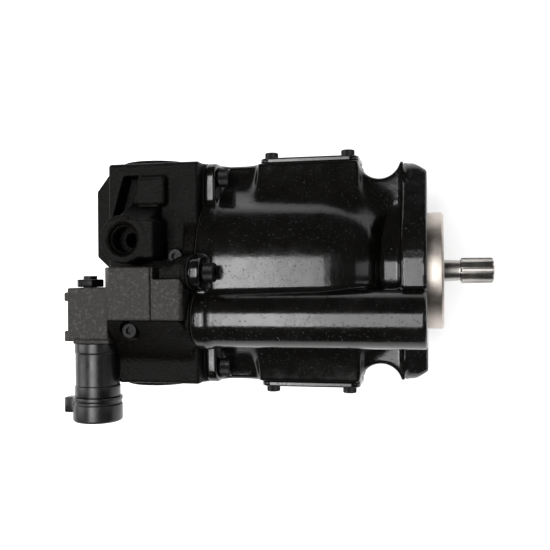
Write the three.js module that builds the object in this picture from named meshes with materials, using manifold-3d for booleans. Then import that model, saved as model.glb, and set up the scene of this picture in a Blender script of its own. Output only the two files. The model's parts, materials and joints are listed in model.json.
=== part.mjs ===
// Axial piston pump, variable displacement: swashplate, nine pistons, two-bolt flange.
// Millimetres. +X runs out along the drive shaft, +Y towards the inlet port, +Z up through the
// control side. The origin is on the shaft axis in the plane of the mounting face.
import * as THREE from "three";
import { mergeVertices } from "three/addons/utils/BufferGeometryUtils.js";
import Module from "manifold-3d";

const wasm = await Module();
wasm.setup();

// ---------------------------------------------------------------- driving dimensions
const GAP = 0.3;
const PILOT = { radius: 50.8, length: 13 };
const FLANGE = {
  thickness: 21, discRadius: 67, earY: 95.8, coneX: -13, coneRadius: 87, boltY: 73, boltRadius: 7.15,
};
const NECK = { radius: 45 };
const BARREL = { rear: 74, radius: 71, domeX: -98, domeLength: 59, domeDrop: 28 };
const JOINT = { caseRear: -190, gasket: 0.6, coverFront: -191.2, lugRadius: 13, lugLength: 10 };
const CAVITY = { radius: 56.5, taperX: -90, neckX: -62, neckRadius: 46 };
const WING = { tipY: 95.6, rootZ: 23, tipZ: 19 };
const SCALLOP = { x: -40.6, y: 97.8, radius: 17.6 };
const TRUNNION = { x: -106, faceY: 95.8, pinRadius: 14, boreRadius: 20.3 };
const COVER = { x: -102, thickness: 4.5, halfX: 43.5, halfZ: 26, screwX: 34, screwZ: 17, cornerRadius: 8.5 };
const RIB = { y: -39, z: 62, radius: 24.5, bore: 13.3, blindX: -30 };
const SHAFT = { seat: 17.5, middle: 15, rear: 12, splineX: 27, endX: 55.5, neck: 8.8, splineRadius: 10.9, teeth: 13 };
const FRONT_BEARING = { x0: -43, x1: -20, bore: 17.8, outer: 36 };
const REAR_BEARING = { x0: -214, x1: -197, bore: 12.3, outer: 20 };
const SEAL = { x0: 0.5, x1: 9.5, outer: 24 };
const GROUP = { pistons: 9, pitch: 34, shoeRadius: 10.5, pistonRadius: 10, runningX: -106, ballX: -117 };
const BLOCK = { front: -136, rear: -185.6, radius: 50, springBore: 21, springFloor: -160, boreFloor: -182.6 };
const VALVE_PLATE = { x0: -190.9, x1: -186, radius: 51 };
const SWASH = { radius: 52, hole: 23, back: -88, tilt: 17 };
const LEVER = { halfY: 5, tipRadius: 8 };
const PORT_BLOCK = { left: -290.5, front: 62, back: -58, faceY: 95 };
const PORTS = { x: -248, faceY: 102, inletBoss: 33, inletBore: 22.5, outletBoss: 30.5, outletBore: 19 };
const DRAIN = { x: -246, y: 28, top: 95, boss: 20, bore: 11.8, floor: 72 };
const COMPENSATOR = { left: -264, seam: -222, right: -195, top: 95, y0: -39, y1: 5, spoolY: -17, spoolZ: 76 };
const PILOT_VALVE = { left: -301, y0: -60, y1: -12, z0: 38, z1: 84, axisX: -284.5, axisZ: 60, screwX: -290.7 };
const COIL = { radius: 19.6, shellRadius: 21.4, collarY: -107, endY: -128.4 };

const RUBBER = { color: 0x151515, roughness: 0.7, metalness: 0 };
const ENAMEL = { color: 0x0b0b0b, roughness: 0.25, metalness: 0 };
const ROUGH_CASTING = { color: 0x2a2826, roughness: 0.6, metalness: 0 };
const PLASTIC = { color: 0x1b1a1a, roughness: 0.45, metalness: 0 };
const MACHINED = { color: 0xa39c95, roughness: 0.4, metalness: 0.9 };
const STEEL = { color: 0xb9b7b4, roughness: 0.3, metalness: 1 };
const OXIDE = { color: 0x1c1c1d, roughness: 0.45, metalness: 0.8 };
const BRONZE = { color: 0xb08a4a, roughness: 0.35, metalness: 1 };
const SPRING_STEEL = { color: 0x6d6f72, roughness: 0.35, metalness: 1 };
const GASKET_FIBRE = { color: 0x3c4a3f, roughness: 0.9, metalness: 0 };

// ---------------------------------------------------------------- solid building
const SWAP = {
  X: [[0, 1, 0], [0, 0, 1], [1, 0, 0]],
  Y: [[0, 0, 1], [1, 0, 0], [0, 1, 0]],
  Z: [[1, 0, 0], [0, 1, 0], [0, 0, 1]],
};

function signedVolume(positions, index) {
  const a = new THREE.Vector3();
  const b = new THREE.Vector3();
  const c = new THREE.Vector3();
  let total = 0;
  for (let i = 0; i < index.length; i += 3) {
    a.fromBufferAttribute(positions, index[i]);
    b.fromBufferAttribute(positions, index[i + 1]);
    c.fromBufferAttribute(positions, index[i + 2]);
    total += a.dot(b.cross(c));
  }
  return total;
}

function solidOf(geometry) {
  geometry.deleteAttribute("normal");
  geometry.deleteAttribute("uv");
  const merged = mergeVertices(geometry, 1e-3);
  const positions = merged.getAttribute("position");
  const faces = [];
  const index = merged.getIndex().array;
  const inside = signedVolume(positions, index) < 0;
  for (let i = 0; i < index.length; i += 3) {
    const [p, q, r] = [index[i], index[i + 1], index[i + 2]];
    if (p === q || q === r || p === r) continue;
    faces.push(...(inside ? [p, r, q] : [p, q, r]));
  }
  const vertProperties = new Float32Array(positions.array);
  const triVerts = new Uint32Array(faces);
  return new wasm.Manifold(new wasm.Mesh({ numProp: 3, vertProperties, triVerts }));
}

function turnTo(axis, geometry) {
  const [u, v, w] = SWAP[axis].map((column) => new THREE.Vector3(...column));
  return geometry.applyMatrix4(new THREE.Matrix4().makeBasis(u, v, w));
}

// A prism of an outline along an axis. Outlines are (Y, Z) along X, (Z, X) along Y, (X, Y) along Z.
function prism(axis, outline, from, to, holes = []) {
  const shape = new THREE.Shape(outline.map(([a, b]) => new THREE.Vector2(a, b)));
  for (const hole of holes) {
    shape.holes.push(new THREE.Path(hole.map(([a, b]) => new THREE.Vector2(a, b))));
  }
  const geometry = new THREE.ExtrudeGeometry(shape, { depth: to - from, bevelEnabled: false });
  geometry.translate(0, 0, from);
  return solidOf(turnTo(axis, geometry));
}

// A solid of revolution about an axis through the origin; profile points are [along, radius].
function turned(axis, profile, segments = 32) {
  const points = profile.map(([along, radius]) => new THREE.Vector2(radius, along));
  const first = points[0];
  const last = points[points.length - 1];
  if (first.x > 0 || last.x > 0) points.push(first.clone());
  const geometry = new THREE.LatheGeometry(points, segments);
  geometry.rotateX(Math.PI / 2);
  return solidOf(turnTo(axis, geometry));
}

function rod(axis, radius, from, to, segments = 24) {
  return turned(axis, [[from, 0], [from, radius], [to, radius], [to, 0]], segments);
}

function tube(axis, inner, outer, from, to, segments = 24) {
  return turned(axis, [[from, inner], [from, outer], [to, outer], [to, inner]], segments);
}

function box(x0, x1, y0, y1, z0, z1) {
  const geometry = new THREE.BoxGeometry(x1 - x0, y1 - y0, z1 - z0);
  geometry.translate((x0 + x1) / 2, (y0 + y1) / 2, (z0 + z1) / 2);
  return solidOf(geometry);
}

function join(...solids) {
  return solids.reduce((sum, solid) => sum.add(solid));
}

function cut(body, ...tools) {
  return tools.reduce((left, tool) => left.subtract(tool), body);
}

function circle(a, b, radius, steps = 16) {
  const points = [];
  for (let i = 0; i < steps; i += 1) {
    const angle = (2 * Math.PI * i) / steps;
    points.push([a + radius * Math.cos(angle), b + radius * Math.sin(angle)]);
  }
  return points;
}

// The tight outline around a set of circles [a, b, radius].
function hullOf(circles, steps = 20) {
  const points = circles.flatMap(([a, b, radius]) => circle(a, b, radius, steps));
  points.sort((p, q) => p[0] - q[0] || p[1] - q[1]);
  const turn = (o, p, q) => (p[0] - o[0]) * (q[1] - o[1]) - (p[1] - o[1]) * (q[0] - o[0]);
  const half = (list) => {
    const chain = [];
    for (const point of list) {
      while (chain.length > 1 && turn(chain.at(-2), chain.at(-1), point) <= 1e-6) chain.pop();
      chain.push(point);
    }
    return chain.slice(0, -1);
  };
  return [...half(points), ...half(points.reverse())];
}

function corners(a, b, radius) {
  return [[a, b, radius], [-a, b, radius], [a, -b, radius], [-a, -b, radius]];
}

function mesh(name, solid, material, position = [0, 0, 0], rotation = [0, 0, 0]) {
  const { vertProperties, triVerts } = solid.getMesh();
  const geometry = new THREE.BufferGeometry();
  geometry.setAttribute("position", new THREE.BufferAttribute(vertProperties, 3));
  geometry.setIndex(new THREE.BufferAttribute(triVerts, 1));
  geometry.computeVertexNormals();
  const node = new THREE.Mesh(geometry, new THREE.MeshStandardMaterial(material));
  node.name = name;
  node.position.set(...position);
  node.rotation.set(...rotation);
  return node;
}

// ---------------------------------------------------------------- fasteners and springs
// A socket-head cap screw pointing along -Z, seated with its head underside at z = 0.
function capScrew(head, headHeight, shank, length) {
  const socket = head * 0.52;
  return turned("Z", [
    [-length, 0], [-length, shank], [0, shank], [0, head], [headHeight, head], [headHeight, socket],
    [headHeight * 0.45, socket], [headHeight * 0.45, 0],
  ], 8);
}

class Helix extends THREE.Curve {
  constructor(radius, length, turns) {
    super();
    this.radius = radius;
    this.length = length;
    this.turns = turns;
  }

  getPoint(t, target = new THREE.Vector3()) {
    const angle = 2 * Math.PI * this.turns * t;
    return target.set(this.length * t, this.radius * Math.cos(angle), this.radius * Math.sin(angle));
  }
}

// A compression spring along +X from x = 0, the wire's centre line ending inside both ends.
function coilSpring(radius, wire, length, turns) {
  const section = new THREE.Shape(circle(0, 0, wire, 4).map(([a, b]) => new THREE.Vector2(a, b)));
  const path = new Helix(radius, length - 2 * wire, turns);
  const geometry = new THREE.ExtrudeGeometry(section, { steps: turns * 9, extrudePath: path, bevelEnabled: false });
  geometry.translate(wire, 0, 0);
  return solidOf(geometry);
}

// ---------------------------------------------------------------- main housing
function domeProfile() {
  const points = [];
  const steps = 6;
  for (let i = 0; i <= steps; i += 1) {
    const angle = (i / steps) * (82 * Math.PI) / 180;
    const x = BARREL.domeX + BARREL.domeLength * Math.sin(angle);
    points.push([x, BARREL.radius - BARREL.domeDrop * (1 - Math.cos(angle))]);
  }
  return points;
}

function flangeOutline() {
  return hullOf([[0, 0, FLANGE.discRadius], [75, 0, 20], [-75, 0, 20]], 32);
}

function mountingFlange() {
  const plate = prism("X", flangeOutline(), -FLANGE.thickness, 0);
  const turnedEnvelope = turned("X", [
    [-22, 0], [-22, FLANGE.earY], [FLANGE.coneX, FLANGE.earY], [0, FLANGE.coneRadius], [0, 0],
  ], 40);
  return plate.intersect(turnedEnvelope);
}

function wings() {
  const side = [
    [60, WING.rootZ], [WING.tipY - 3, WING.tipZ], [WING.tipY, WING.tipZ - 3], [WING.tipY, 3 - WING.tipZ],
    [WING.tipY - 3, -WING.tipZ], [60, -WING.rootZ],
  ];
  const outline = [...side, ...side.map(([y, z]) => [-y, -z])];
  return prism("X", outline, JOINT.caseRear, 0.6 - FLANGE.thickness);
}

// The joint flange: four corner lugs, a round middle, the rib's end and two middle lugs.
function jointFlange(from, to) {
  const r = JOINT.lugRadius;
  return join(
    prism("X", hullOf(corners(83, 35, r), 12), from, to),
    rod("X", BARREL.rear + 0.7, from, to, 36),
    rod("X", RIB.radius, from, to, 24).translate([0, RIB.y, RIB.z]),
    prism("X", hullOf([[0, 84, r + 0.3], [0, 60, 17]], 14), from, to),
    prism("X", hullOf([[0, -84, r + 0.3], [0, -60, 17]], 14), from, to),
  );
}

function trunnionBosses() {
  const { x, halfX, halfZ, cornerRadius } = COVER;
  const pad = corners(halfX - cornerRadius, halfZ - cornerRadius, cornerRadius).map(([u, z, r]) => [z, x + u, r]);
  const wide = hullOf(pad.map(([z, u, r]) => [1.35 * z, u, r]), 12);
  const drafted = [[50, 34], [TRUNNION.faceY, halfZ], [TRUNNION.faceY, -halfZ], [50, -34]];
  const draft = prism("X", drafted, x - 80, x + 80);
  const pads = join(prism("Y", wide, 58, TRUNNION.faceY), prism("Y", wide, -TRUNNION.faceY, -58));
  return pads.intersect(join(draft, draft.rotate([0, 0, 180]).translate([2 * x, 0, 0])));
}

function flangeBoltCuts(side) {
  const y = side * FLANGE.boltY;
  const outer = side * 110;
  return [
    rod("X", FLANGE.boltRadius, -70, 5, 12).translate([0, y, 0]),
    rod("X", 13, -60, -FLANGE.thickness, 12).translate([0, y, 0]),
    box(-60, -FLANGE.thickness, Math.min(y, outer), Math.max(y, outer), -13, 13),
    rod("Z", SCALLOP.radius, -80, 80, 20).translate([SCALLOP.x, side * SCALLOP.y, 0]),
  ];
}

function coverScrewHoles() {
  return corners(COVER.screwX, COVER.screwZ, 0).flatMap(([x, z]) => [
    rod("Y", 4.7, 82, 120, 8).translate([COVER.x + x, 0, z]),
    rod("Y", 4.7, -120, -82, 8).translate([COVER.x + x, 0, z]),
  ]);
}

const JOINT_SCREWS = [[83, 35], [83, -35], [-83, 35], [-83, -35], [0, 84], [0, -84]];

function caseCavity() {
  return turned("X", [
    [-200, 0], [-200, CAVITY.radius], [CAVITY.taperX, CAVITY.radius], [CAVITY.neckX, CAVITY.neckRadius],
    [-48, 36.3], [-18, 36.3], [-18, 30], [-9, 24.3], [20, 24.3], [20, 0],
  ], 28);
}

function mainHousing() {
  const barrel = turned("X", [
    [JOINT.caseRear, 0], [JOINT.caseRear, BARREL.rear], ...domeProfile(),
    [-37, NECK.radius], [-5, NECK.radius], [-5, 0],
  ], 36);
  const pilot = turned("X", [
    [-5, 0], [-5, PILOT.radius], [PILOT.length, PILOT.radius], [PILOT.length, 0],
  ], 40);
  const rib = rod("X", RIB.radius, JOINT.caseRear, -0.4, 24).translate([0, RIB.y, RIB.z]);
  const outside = join(
    barrel, pilot, rib, mountingFlange(), wings(), trunnionBosses(),
    jointFlange(JOINT.caseRear, JOINT.caseRear + JOINT.lugLength),
    rod("Z", 19, -80, -50, 20).translate([-140, 0, 0]),
  );
  const screwHoles = JOINT_SCREWS.map(([y, z]) => rod("X", 5.7, -200, -170, 8).translate([0, y, z]));
  const headRoom = JOINT_SCREWS.map(([y, z]) => (
    rod("X", 9.5, JOINT.caseRear + JOINT.lugLength, -163, 10).translate([0, y, z])
  ));
  return cut(
    outside, caseCavity(),
    rod("Y", TRUNNION.boreRadius, -110, 110, 20).translate([TRUNNION.x, 0, 0]),
    rod("X", RIB.bore, -200, RIB.blindX, 16).translate([0, RIB.y, RIB.z]),
    box(-128, -70.4, -46.3, -31.7, 25.3, 56),
    rod("Z", 10.3, -90, -40, 16).translate([-140, 0, 0]),
    ...flangeBoltCuts(1), ...flangeBoltCuts(-1), ...coverScrewHoles(), ...screwHoles, ...headRoom,
  );
}

// ---------------------------------------------------------------- covers and gasket
function caseGasket() {
  const rear = JOINT.caseRear - GAP;
  const opening = rod("X", CAVITY.radius, -200, -180, 24);
  const ribOpening = rod("X", RIB.bore, -200, -180, 16).translate([0, RIB.y, RIB.z]);
  const screwHoles = JOINT_SCREWS.map(([y, z]) => rod("X", 5.7, -195, -185, 8).translate([0, y, z]));
  return cut(jointFlange(rear - JOINT.gasket, rear), opening, ribOpening, ...screwHoles);
}

function portBlock() {
  const { left, front, back, faceY } = PORT_BLOCK;
  const outline = [
    [-191.2, -faceY], [-191.2, faceY], [left + 17, faceY], [left, faceY - 22], [left, 15],
    [left + 12, 4], [left + 15, -62], [left + 17, -faceY + 4], [left + 21, -faceY],
  ];
  const step = COMPENSATOR.left;
  return cut(
    prism("Z", outline.reverse(), back, front),
    box(left - 5, step, -120, -8, PILOT_VALVE.z0 - 2, 200),
    box(left - 5, -272, -10, 120, 46, 200),
  );
}

function controlFlank() {
  const outline = [[-98, 20], [-96, 38], [-90, 47], [-39.5, 94.6], [-39.5, 50], [-60, 20]];
  return prism("X", outline.reverse(), COMPENSATOR.left + 2, COMPENSATOR.right - 1);
}

function portPassages() {
  const inlet = rod("Y", PORTS.inletBore, 30, 110, 24).translate([PORTS.x, 0, 0]);
  const outlet = rod("Y", PORTS.outletBore, -110, -30, 24).translate([PORTS.x, 0, 0]);
  return [inlet, outlet, box(PORTS.x, -180, 26, 40, -22, 22), box(PORTS.x, -180, -40, -26, -17, 17)];
}

function drainPort() {
  return [
    turned("Z", [
      [DRAIN.floor, 0], [DRAIN.floor, DRAIN.bore], [DRAIN.top - 2.4, DRAIN.bore],
      [DRAIN.top + 0.5, DRAIN.bore + 2.9], [DRAIN.top + 5, DRAIN.bore + 2.9], [DRAIN.top + 5, 0],
    ], 24).translate([DRAIN.x, DRAIN.y, 0]),
    rod("Z", 6, 42, 80, 12).translate([DRAIN.x, DRAIN.y, 0]),
    rod("X", 5, DRAIN.x, -180, 12).translate([0, DRAIN.y, 46]),
  ];
}

function endCover() {
  const frontX = JOINT.coverFront;
  const { left, right, y0, y1 } = COMPENSATOR;
  const controlSeat = box(left - 2, right + 0.4, y0 - GAP, y1 + GAP, PORT_BLOCK.front, 120);
  const solid = join(
    cut(join(jointFlange(frontX - 11, frontX), portBlock(), controlFlank()), controlSeat),
    rod("Y", PORTS.inletBoss, 90, PORTS.faceY, 28).translate([PORTS.x, 0, 0]),
    rod("Y", PORTS.outletBoss, -PORTS.faceY, -90, 28).translate([PORTS.x, 0, 0]),
    rod("Z", DRAIN.boss, 40, DRAIN.top, 24).translate([DRAIN.x, DRAIN.y, 0]),
    box(DRAIN.x, -219, 12, 44, 40, DRAIN.top),
    prism("X", [[43, 40], [60, 40], [60, 61], [43, 94]], -254, -224),
    box(-243, -218, 58, 82, 50, 70),
    rod("X", 11, -215, frontX, 16).translate([0, 0, 84]),
  );
  const screwHoles = JOINT_SCREWS.map(([y, z]) => rod("X", 5.7, -213, -170, 8).translate([0, y, z]));
  const bearingSeat = rod("X", REAR_BEARING.outer + GAP, -216, -180, 20);
  const pressureLine = rod("Z", 3, 0, 70, 10).translate([-240, -33, 0]);
  const slantedPocket = prism("Z", [[-270, 42], [-255, 42], [-244, 84], [-258, 84]], 44, 80);
  const screwHolesForBlock = COMPENSATOR_SCREWS.map(([x, y]) => (
    rod("Z", 4.7, 36, 120, 8).translate([x, y, 0])
  ));
  const screwRecess = rod("Z", 8, 78, 120, 16).translate([...COMPENSATOR_SCREWS[0], 0]);
  return cut(
    solid, ...portPassages(), ...drainPort(), ...screwHoles, bearingSeat, pressureLine, slantedPocket,
    screwRecess, ...screwHolesForBlock,
  );
}

const COMPENSATOR_SCREWS = [[-244, -48], [-209, 14]];

function trunnionCover() {
  const { halfX, halfZ, cornerRadius } = COVER;
  const offset = COVER.x - TRUNNION.x;
  const pads = corners(halfX - cornerRadius, halfZ - cornerRadius, cornerRadius).map(([x, z, r]) => [z, x + offset, r]);
  const holes = corners(COVER.screwX, COVER.screwZ, 0).map(([x, z]) => circle(z, x + offset, 4.7, 8));
  const plate = prism("Y", hullOf(pads, 12), 0, COVER.thickness, holes);
  return join(plate, rod("Y", TRUNNION.boreRadius - GAP, -8, 1, 20));
}

// ---------------------------------------------------------------- shaft line
function splineSection() {
  const points = [];
  const root = SHAFT.splineRadius - 1.7;
  const pattern = [[-0.3, root], [-0.2, SHAFT.splineRadius], [0.2, SHAFT.splineRadius], [0.3, root]];
  for (let i = 0; i < SHAFT.teeth; i += 1) {
    for (const [offset, radius] of pattern) {
      const angle = (2 * Math.PI * (i + offset)) / SHAFT.teeth;
      points.push([radius * Math.cos(angle), radius * Math.sin(angle)]);
    }
  }
  return points;
}

function driveShaft() {
  const core = turned("X", [
    [-215, 0], [-215, SHAFT.rear], [-196, SHAFT.rear], [-194, SHAFT.middle],
    [-46, SHAFT.middle], [-45, 20], [-43.3, 20], [-43.3, SHAFT.seat], [8, SHAFT.seat], [12, SHAFT.neck],
    [SHAFT.splineX + 1, SHAFT.neck], [SHAFT.splineX + 1, 0],
  ], 24);
  const spline = prism("X", splineSection(), SHAFT.splineX, SHAFT.endX);
  const endChamfer = turned("X", [
    [20, 0], [20, 9], [SHAFT.splineX, 9.2], [SHAFT.splineX + 2, 11.2], [SHAFT.endX - 2, 11.2],
    [SHAFT.endX, 8.6], [SHAFT.endX, 0],
  ], 26);
  return core.add(spline.intersect(endChamfer));
}

function rollerCage(inner, outer, from, to, rollers) {
  const middle = (inner + outer) / 2;
  const points = [];
  for (let i = 0; i < rollers; i += 1) {
    for (const [offset, radius] of [[-0.28, middle + 0.6], [-0.14, outer], [0.14, outer], [0.28, middle + 0.6]]) {
      const angle = (2 * Math.PI * (i + offset)) / rollers;
      points.push([radius * Math.cos(angle), radius * Math.sin(angle)]);
    }
  }
  return cut(prism("X", points, from, to), rod("X", inner, from - 1, to + 1, 24));
}

function frontBearingCup() {
  const { x0, x1, outer } = FRONT_BEARING;
  return turned("X", [[x0, 33.5], [x0, outer], [x1, outer], [x1, 30.5]], 24);
}

function frontBearingCone() {
  const { x0, x1, bore } = FRONT_BEARING;
  return turned("X", [[x0, bore], [x0, 25.5], [x1, 22.5], [x1, bore]], 24);
}

function shaftSeal() {
  return turned("X", [
    [SEAL.x0, 21], [SEAL.x0, SEAL.outer], [SEAL.x1, SEAL.outer], [SEAL.x1, 20],
    [SEAL.x1 - 2, 18], [SEAL.x0 + 3, 18], [SEAL.x0 + 3, 21],
  ], 24);
}

function retainingRing() {
  const ring = tube("X", 21, SEAL.outer, SEAL.x1 + 0.4, SEAL.x1 + 2.2, 24);
  return cut(ring, box(0, 20, -3, 3, 15, 30));
}

// ---------------------------------------------------------------- rotating group
function groupAngle(i) {
  return (2 * Math.PI * i) / GROUP.pistons;
}

function cylinderBlock() {
  const body = turned("X", [
    [BLOCK.rear, 15.4], [BLOCK.rear, BLOCK.radius], [BLOCK.front + 2, BLOCK.radius],
    [BLOCK.front, BLOCK.radius - 2], [BLOCK.front, BLOCK.springBore], [BLOCK.springFloor, BLOCK.springBore],
    [BLOCK.springFloor, 15.4],
  ], 28);
  const bores = [];
  for (let i = 0; i < GROUP.pistons; i += 1) {
    const y = GROUP.pitch * Math.cos(groupAngle(i));
    const z = GROUP.pitch * Math.sin(groupAngle(i));
    bores.push(rod("X", GROUP.pistonRadius + GAP, BLOCK.boreFloor, -130, 14).translate([0, y, z]));
    bores.push(rod("X", 5, -190, -180, 8).translate([0, y, z]));
  }
  return cut(body, ...bores);
}

// A piston with its shoe crimped on its ball, its axis along X and its shoe's sole at x = 0.
function pistonWithShoe() {
  return turned("X", [
    [0, 0], [0, GROUP.shoeRadius], [-4, GROUP.shoeRadius], [-4, 8.6], [-11, 8.6], [-15, 6.2],
    [-20, GROUP.pistonRadius], [-62, GROUP.pistonRadius], [-62, 0],
  ], 12);
}

function retainerPlate() {
  const holes = [];
  for (let i = 0; i < GROUP.pistons; i += 1) {
    holes.push(circle(GROUP.pitch * Math.cos(groupAngle(i)), GROUP.pitch * Math.sin(groupAngle(i)), 9.2, 12));
  }
  holes.push(circle(0, 0, 20.6, 24));
  return prism("X", circle(0, 0, 45, 28), -112.4, -110.4, holes);
}

function ballGuide() {
  return turned("X", [
    [-128, 15.4], [-128, 20.2], [-118, 20.2], [-112, 18.6], [-109.5, 16.6], [-109.5, 15.4],
  ], 20);
}

function valvePlate() {
  const kidney = (from, to, inner, outer) => {
    const points = [];
    for (let i = 0; i <= 8; i += 1) points.push([outer, from + ((to - from) * i) / 8]);
    for (let i = 8; i >= 0; i -= 1) points.push([inner, from + ((to - from) * i) / 8]);
    return points.map(([radius, angle]) => [radius * Math.cos(angle), radius * Math.sin(angle)]);
  };
  const right = kidney(-0.75, 0.75, 29, 39);
  const left = kidney(Math.PI - 0.6, Math.PI + 0.6, 29, 39);
  return prism("X", circle(0, 0, VALVE_PLATE.radius, 28), VALVE_PLATE.x0, VALVE_PLATE.x1, [right, left, circle(0, 0, 16, 20)]);
}

// ---------------------------------------------------------------- swashplate and its pistons
function swashplate() {
  const disc = tube("X", SWASH.hole, SWASH.radius, GROUP.runningX + 3.3, SWASH.back, 28);
  const cheek = (y0, y1) => box(-120, -92, y0, y1, -12, 12);
  const leverFoot = box(-102, -90, RIB.y - LEVER.halfY, RIB.y + LEVER.halfY, 20, 48);
  const leverNeck = box(-110, -90, RIB.y - LEVER.halfY, RIB.y + LEVER.halfY, 39, 48);
  const leverArm = box(-110, -102, RIB.y - LEVER.halfY, RIB.y + LEVER.halfY, 44, RIB.z);
  const leverTip = rod("Y", LEVER.tipRadius, RIB.y - LEVER.halfY, RIB.y + LEVER.halfY, 16);
  const trunnion = rod("Y", TRUNNION.pinRadius, 50, 88, 24).translate([TRUNNION.x, 0, 0]);
  return join(
    disc, cheek(47, 53), cheek(-53, -47), leverFoot, leverNeck, leverArm,
    leverTip.translate([TRUNNION.x, 0, RIB.z]), trunnion, trunnion.rotate([0, 0, 180]).translate([2 * TRUNNION.x, 0, 0]),
  );
}

function wearPlate() {
  const ring = tube("X", SWASH.hole + 0.5, 46.5, GROUP.runningX, GROUP.runningX + 3, 24);
  return cut(ring, box(-112, -100, 46.6, 60, -20, 20));
}

function controlPiston() {
  const face = TRUNNION.x + LEVER.tipRadius + GAP + 0.2;
  return turned("X", [
    [face, 0], [face, 9], [face + 3, 13], [face + 40, 13], [face + 40, 8], [face + 12, 8], [face + 12, 0],
  ], 20);
}

function biasPiston() {
  const face = TRUNNION.x - LEVER.tipRadius - GAP;
  return turned("X", [
    [face, 0], [face, 9], [face - 3, 13], [face - 22, 13], [face - 22, 8], [face - 8, 8], [face - 8, 0],
  ], 20);
}

// ---------------------------------------------------------------- compensator and pilot valve
function middleScrewRelief() {
  return rod("X", 11.4, -220, -190, 16).translate([0, 0, 84]);
}

function compensatorBlock() {
  const { left, seam, top, y0, y1, spoolY, spoolZ } = COMPENSATOR;
  const outline = [
    [y0, 62.4], [y1, 62.4], [y1, top - 1.5], [y1 - 1.5, top], [y0 + 1.5, top], [y0, top - 1.5],
  ];
  const body = prism("X", outline, left, seam - GAP);
  const corner = prism("Y", [[top - 8, left - 1], [top + 1, left - 1], [top + 1, left + 8]], y0 - 1, y1 + 1);
  const spoolBore = rod("X", 6.5, left + 6, -210, 16).translate([0, spoolY, spoolZ]);
  const pilotLine = rod("X", 2.5, left - 5, left + 8, 10).translate([0, spoolY, spoolZ]);
  const pressureLine = rod("Z", 3, 50, spoolZ, 10).translate([-240, -33, 0]);
  const crossLine = rod("Y", 2.5, -33, spoolY, 10).translate([-240, 0, spoolZ - 2]);
  return cut(body, corner, spoolBore, pilotLine, pressureLine, crossLine);
}

function compensatorCap() {
  const { seam, right, top, y0, y1, spoolY, spoolZ } = COMPENSATOR;
  const outline = [
    [y0, 62.4], [y1, 62.4], [y1, top - 1.5], [y1 - 1.5, top], [y0 + 1.5, top], [y0, top - 1.5],
  ];
  const body = prism("X", outline, seam, right);
  const corner = prism("Y", [[top + 1, right - 4], [top + 1, right + 1], [top - 5, right + 1]], y0 - 1, y1 + 1);
  const springBore = rod("X", 8, seam - 1, right - 5, 16).translate([0, spoolY, spoolZ]);
  return cut(body, corner, springBore, middleScrewRelief());
}

function compensatorSpool() {
  return turned("X", [
    [-253, 0], [-253, 5.9], [-246, 5.9], [-246, 3.4], [-238, 3.4], [-238, 5.9], [-229, 5.9],
    [-229, 3.4], [-226.5, 3.4], [-226.5, 5.5], [-224, 5.5], [-224, 0],
  ], 16);
}

function pilotValveBody() {
  const { left, y0, y1, z0, z1, axisX, axisZ, screwX } = PILOT_VALVE;
  const right = COMPENSATOR.left - GAP;
  const body = box(left, right, y0 + 4, y1, z0, z1);
  const topPlate = box(left - 5, right, y1 - 11.5, y1 - 4, z0 + 4, z1 - 4);
  const lowerPlate = box(left - 5, right, y0 + 2, y0 + 11, z0 + 4, z1 - 4);
  const foot = box(left + 4, right, y0, y0 + 5, z0 + 2, z1 - 2);
  const spoolBore = rod("Y", 5.2, -70, -30, 16).translate([axisX, 0, axisZ]);
  const screwBore = rod("Y", 6.6, -31, 0, 20).translate([screwX, 0, axisZ]);
  const pilotLine = rod("X", 2.5, axisX, -255, 10).translate([0, COMPENSATOR.spoolY - 18, axisZ]);
  return cut(join(body, topPlate, lowerPlate, foot), spoolBore, screwBore, pilotLine);
}

function adjustingScrew() {
  const hexagon = prism("Y", circle(0, 0, 12.6, 6), PILOT_VALVE.y1 + GAP, PILOT_VALVE.y1 + 7);
  const stem = rod("Y", 6, -29, PILOT_VALVE.y1 + 1, 18);
  const button = rod("Y", 6, PILOT_VALVE.y1 + 5, PILOT_VALVE.y1 + 10, 14);
  return join(hexagon, stem, button);
}

function pilotSpool() {
  return turned("Y", [
    [-84, 0], [-84, 3], [-60.5, 3], [-60.5, 4.9], [-52, 4.9], [-52, 2.8], [-44, 2.8], [-44, 4.9],
    [-36, 4.9], [-36, 0],
  ], 14);
}

function solenoidCoil() {
  const top = PILOT_VALVE.y0 - GAP;
  const body = rod("Y", COIL.radius, COIL.collarY + GAP, top, 24);
  return cut(body, rod("Y", 6.5, -92, -50, 14));
}

function connectorShell() {
  const { shellRadius, collarY, endY } = COIL;
  const shell = turned("Y", [
    [collarY, 0], [collarY, shellRadius], [endY + 1.5, shellRadius], [endY, shellRadius - 1.5],
    [endY, shellRadius - 4], [collarY - 6, shellRadius - 4], [collarY - 6, 0],
  ], 24);
  const latch = box(-shellRadius - 7.6, -shellRadius + 3, collarY - 15, collarY - 1, -6, 6);
  return shell.add(latch);
}

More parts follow.
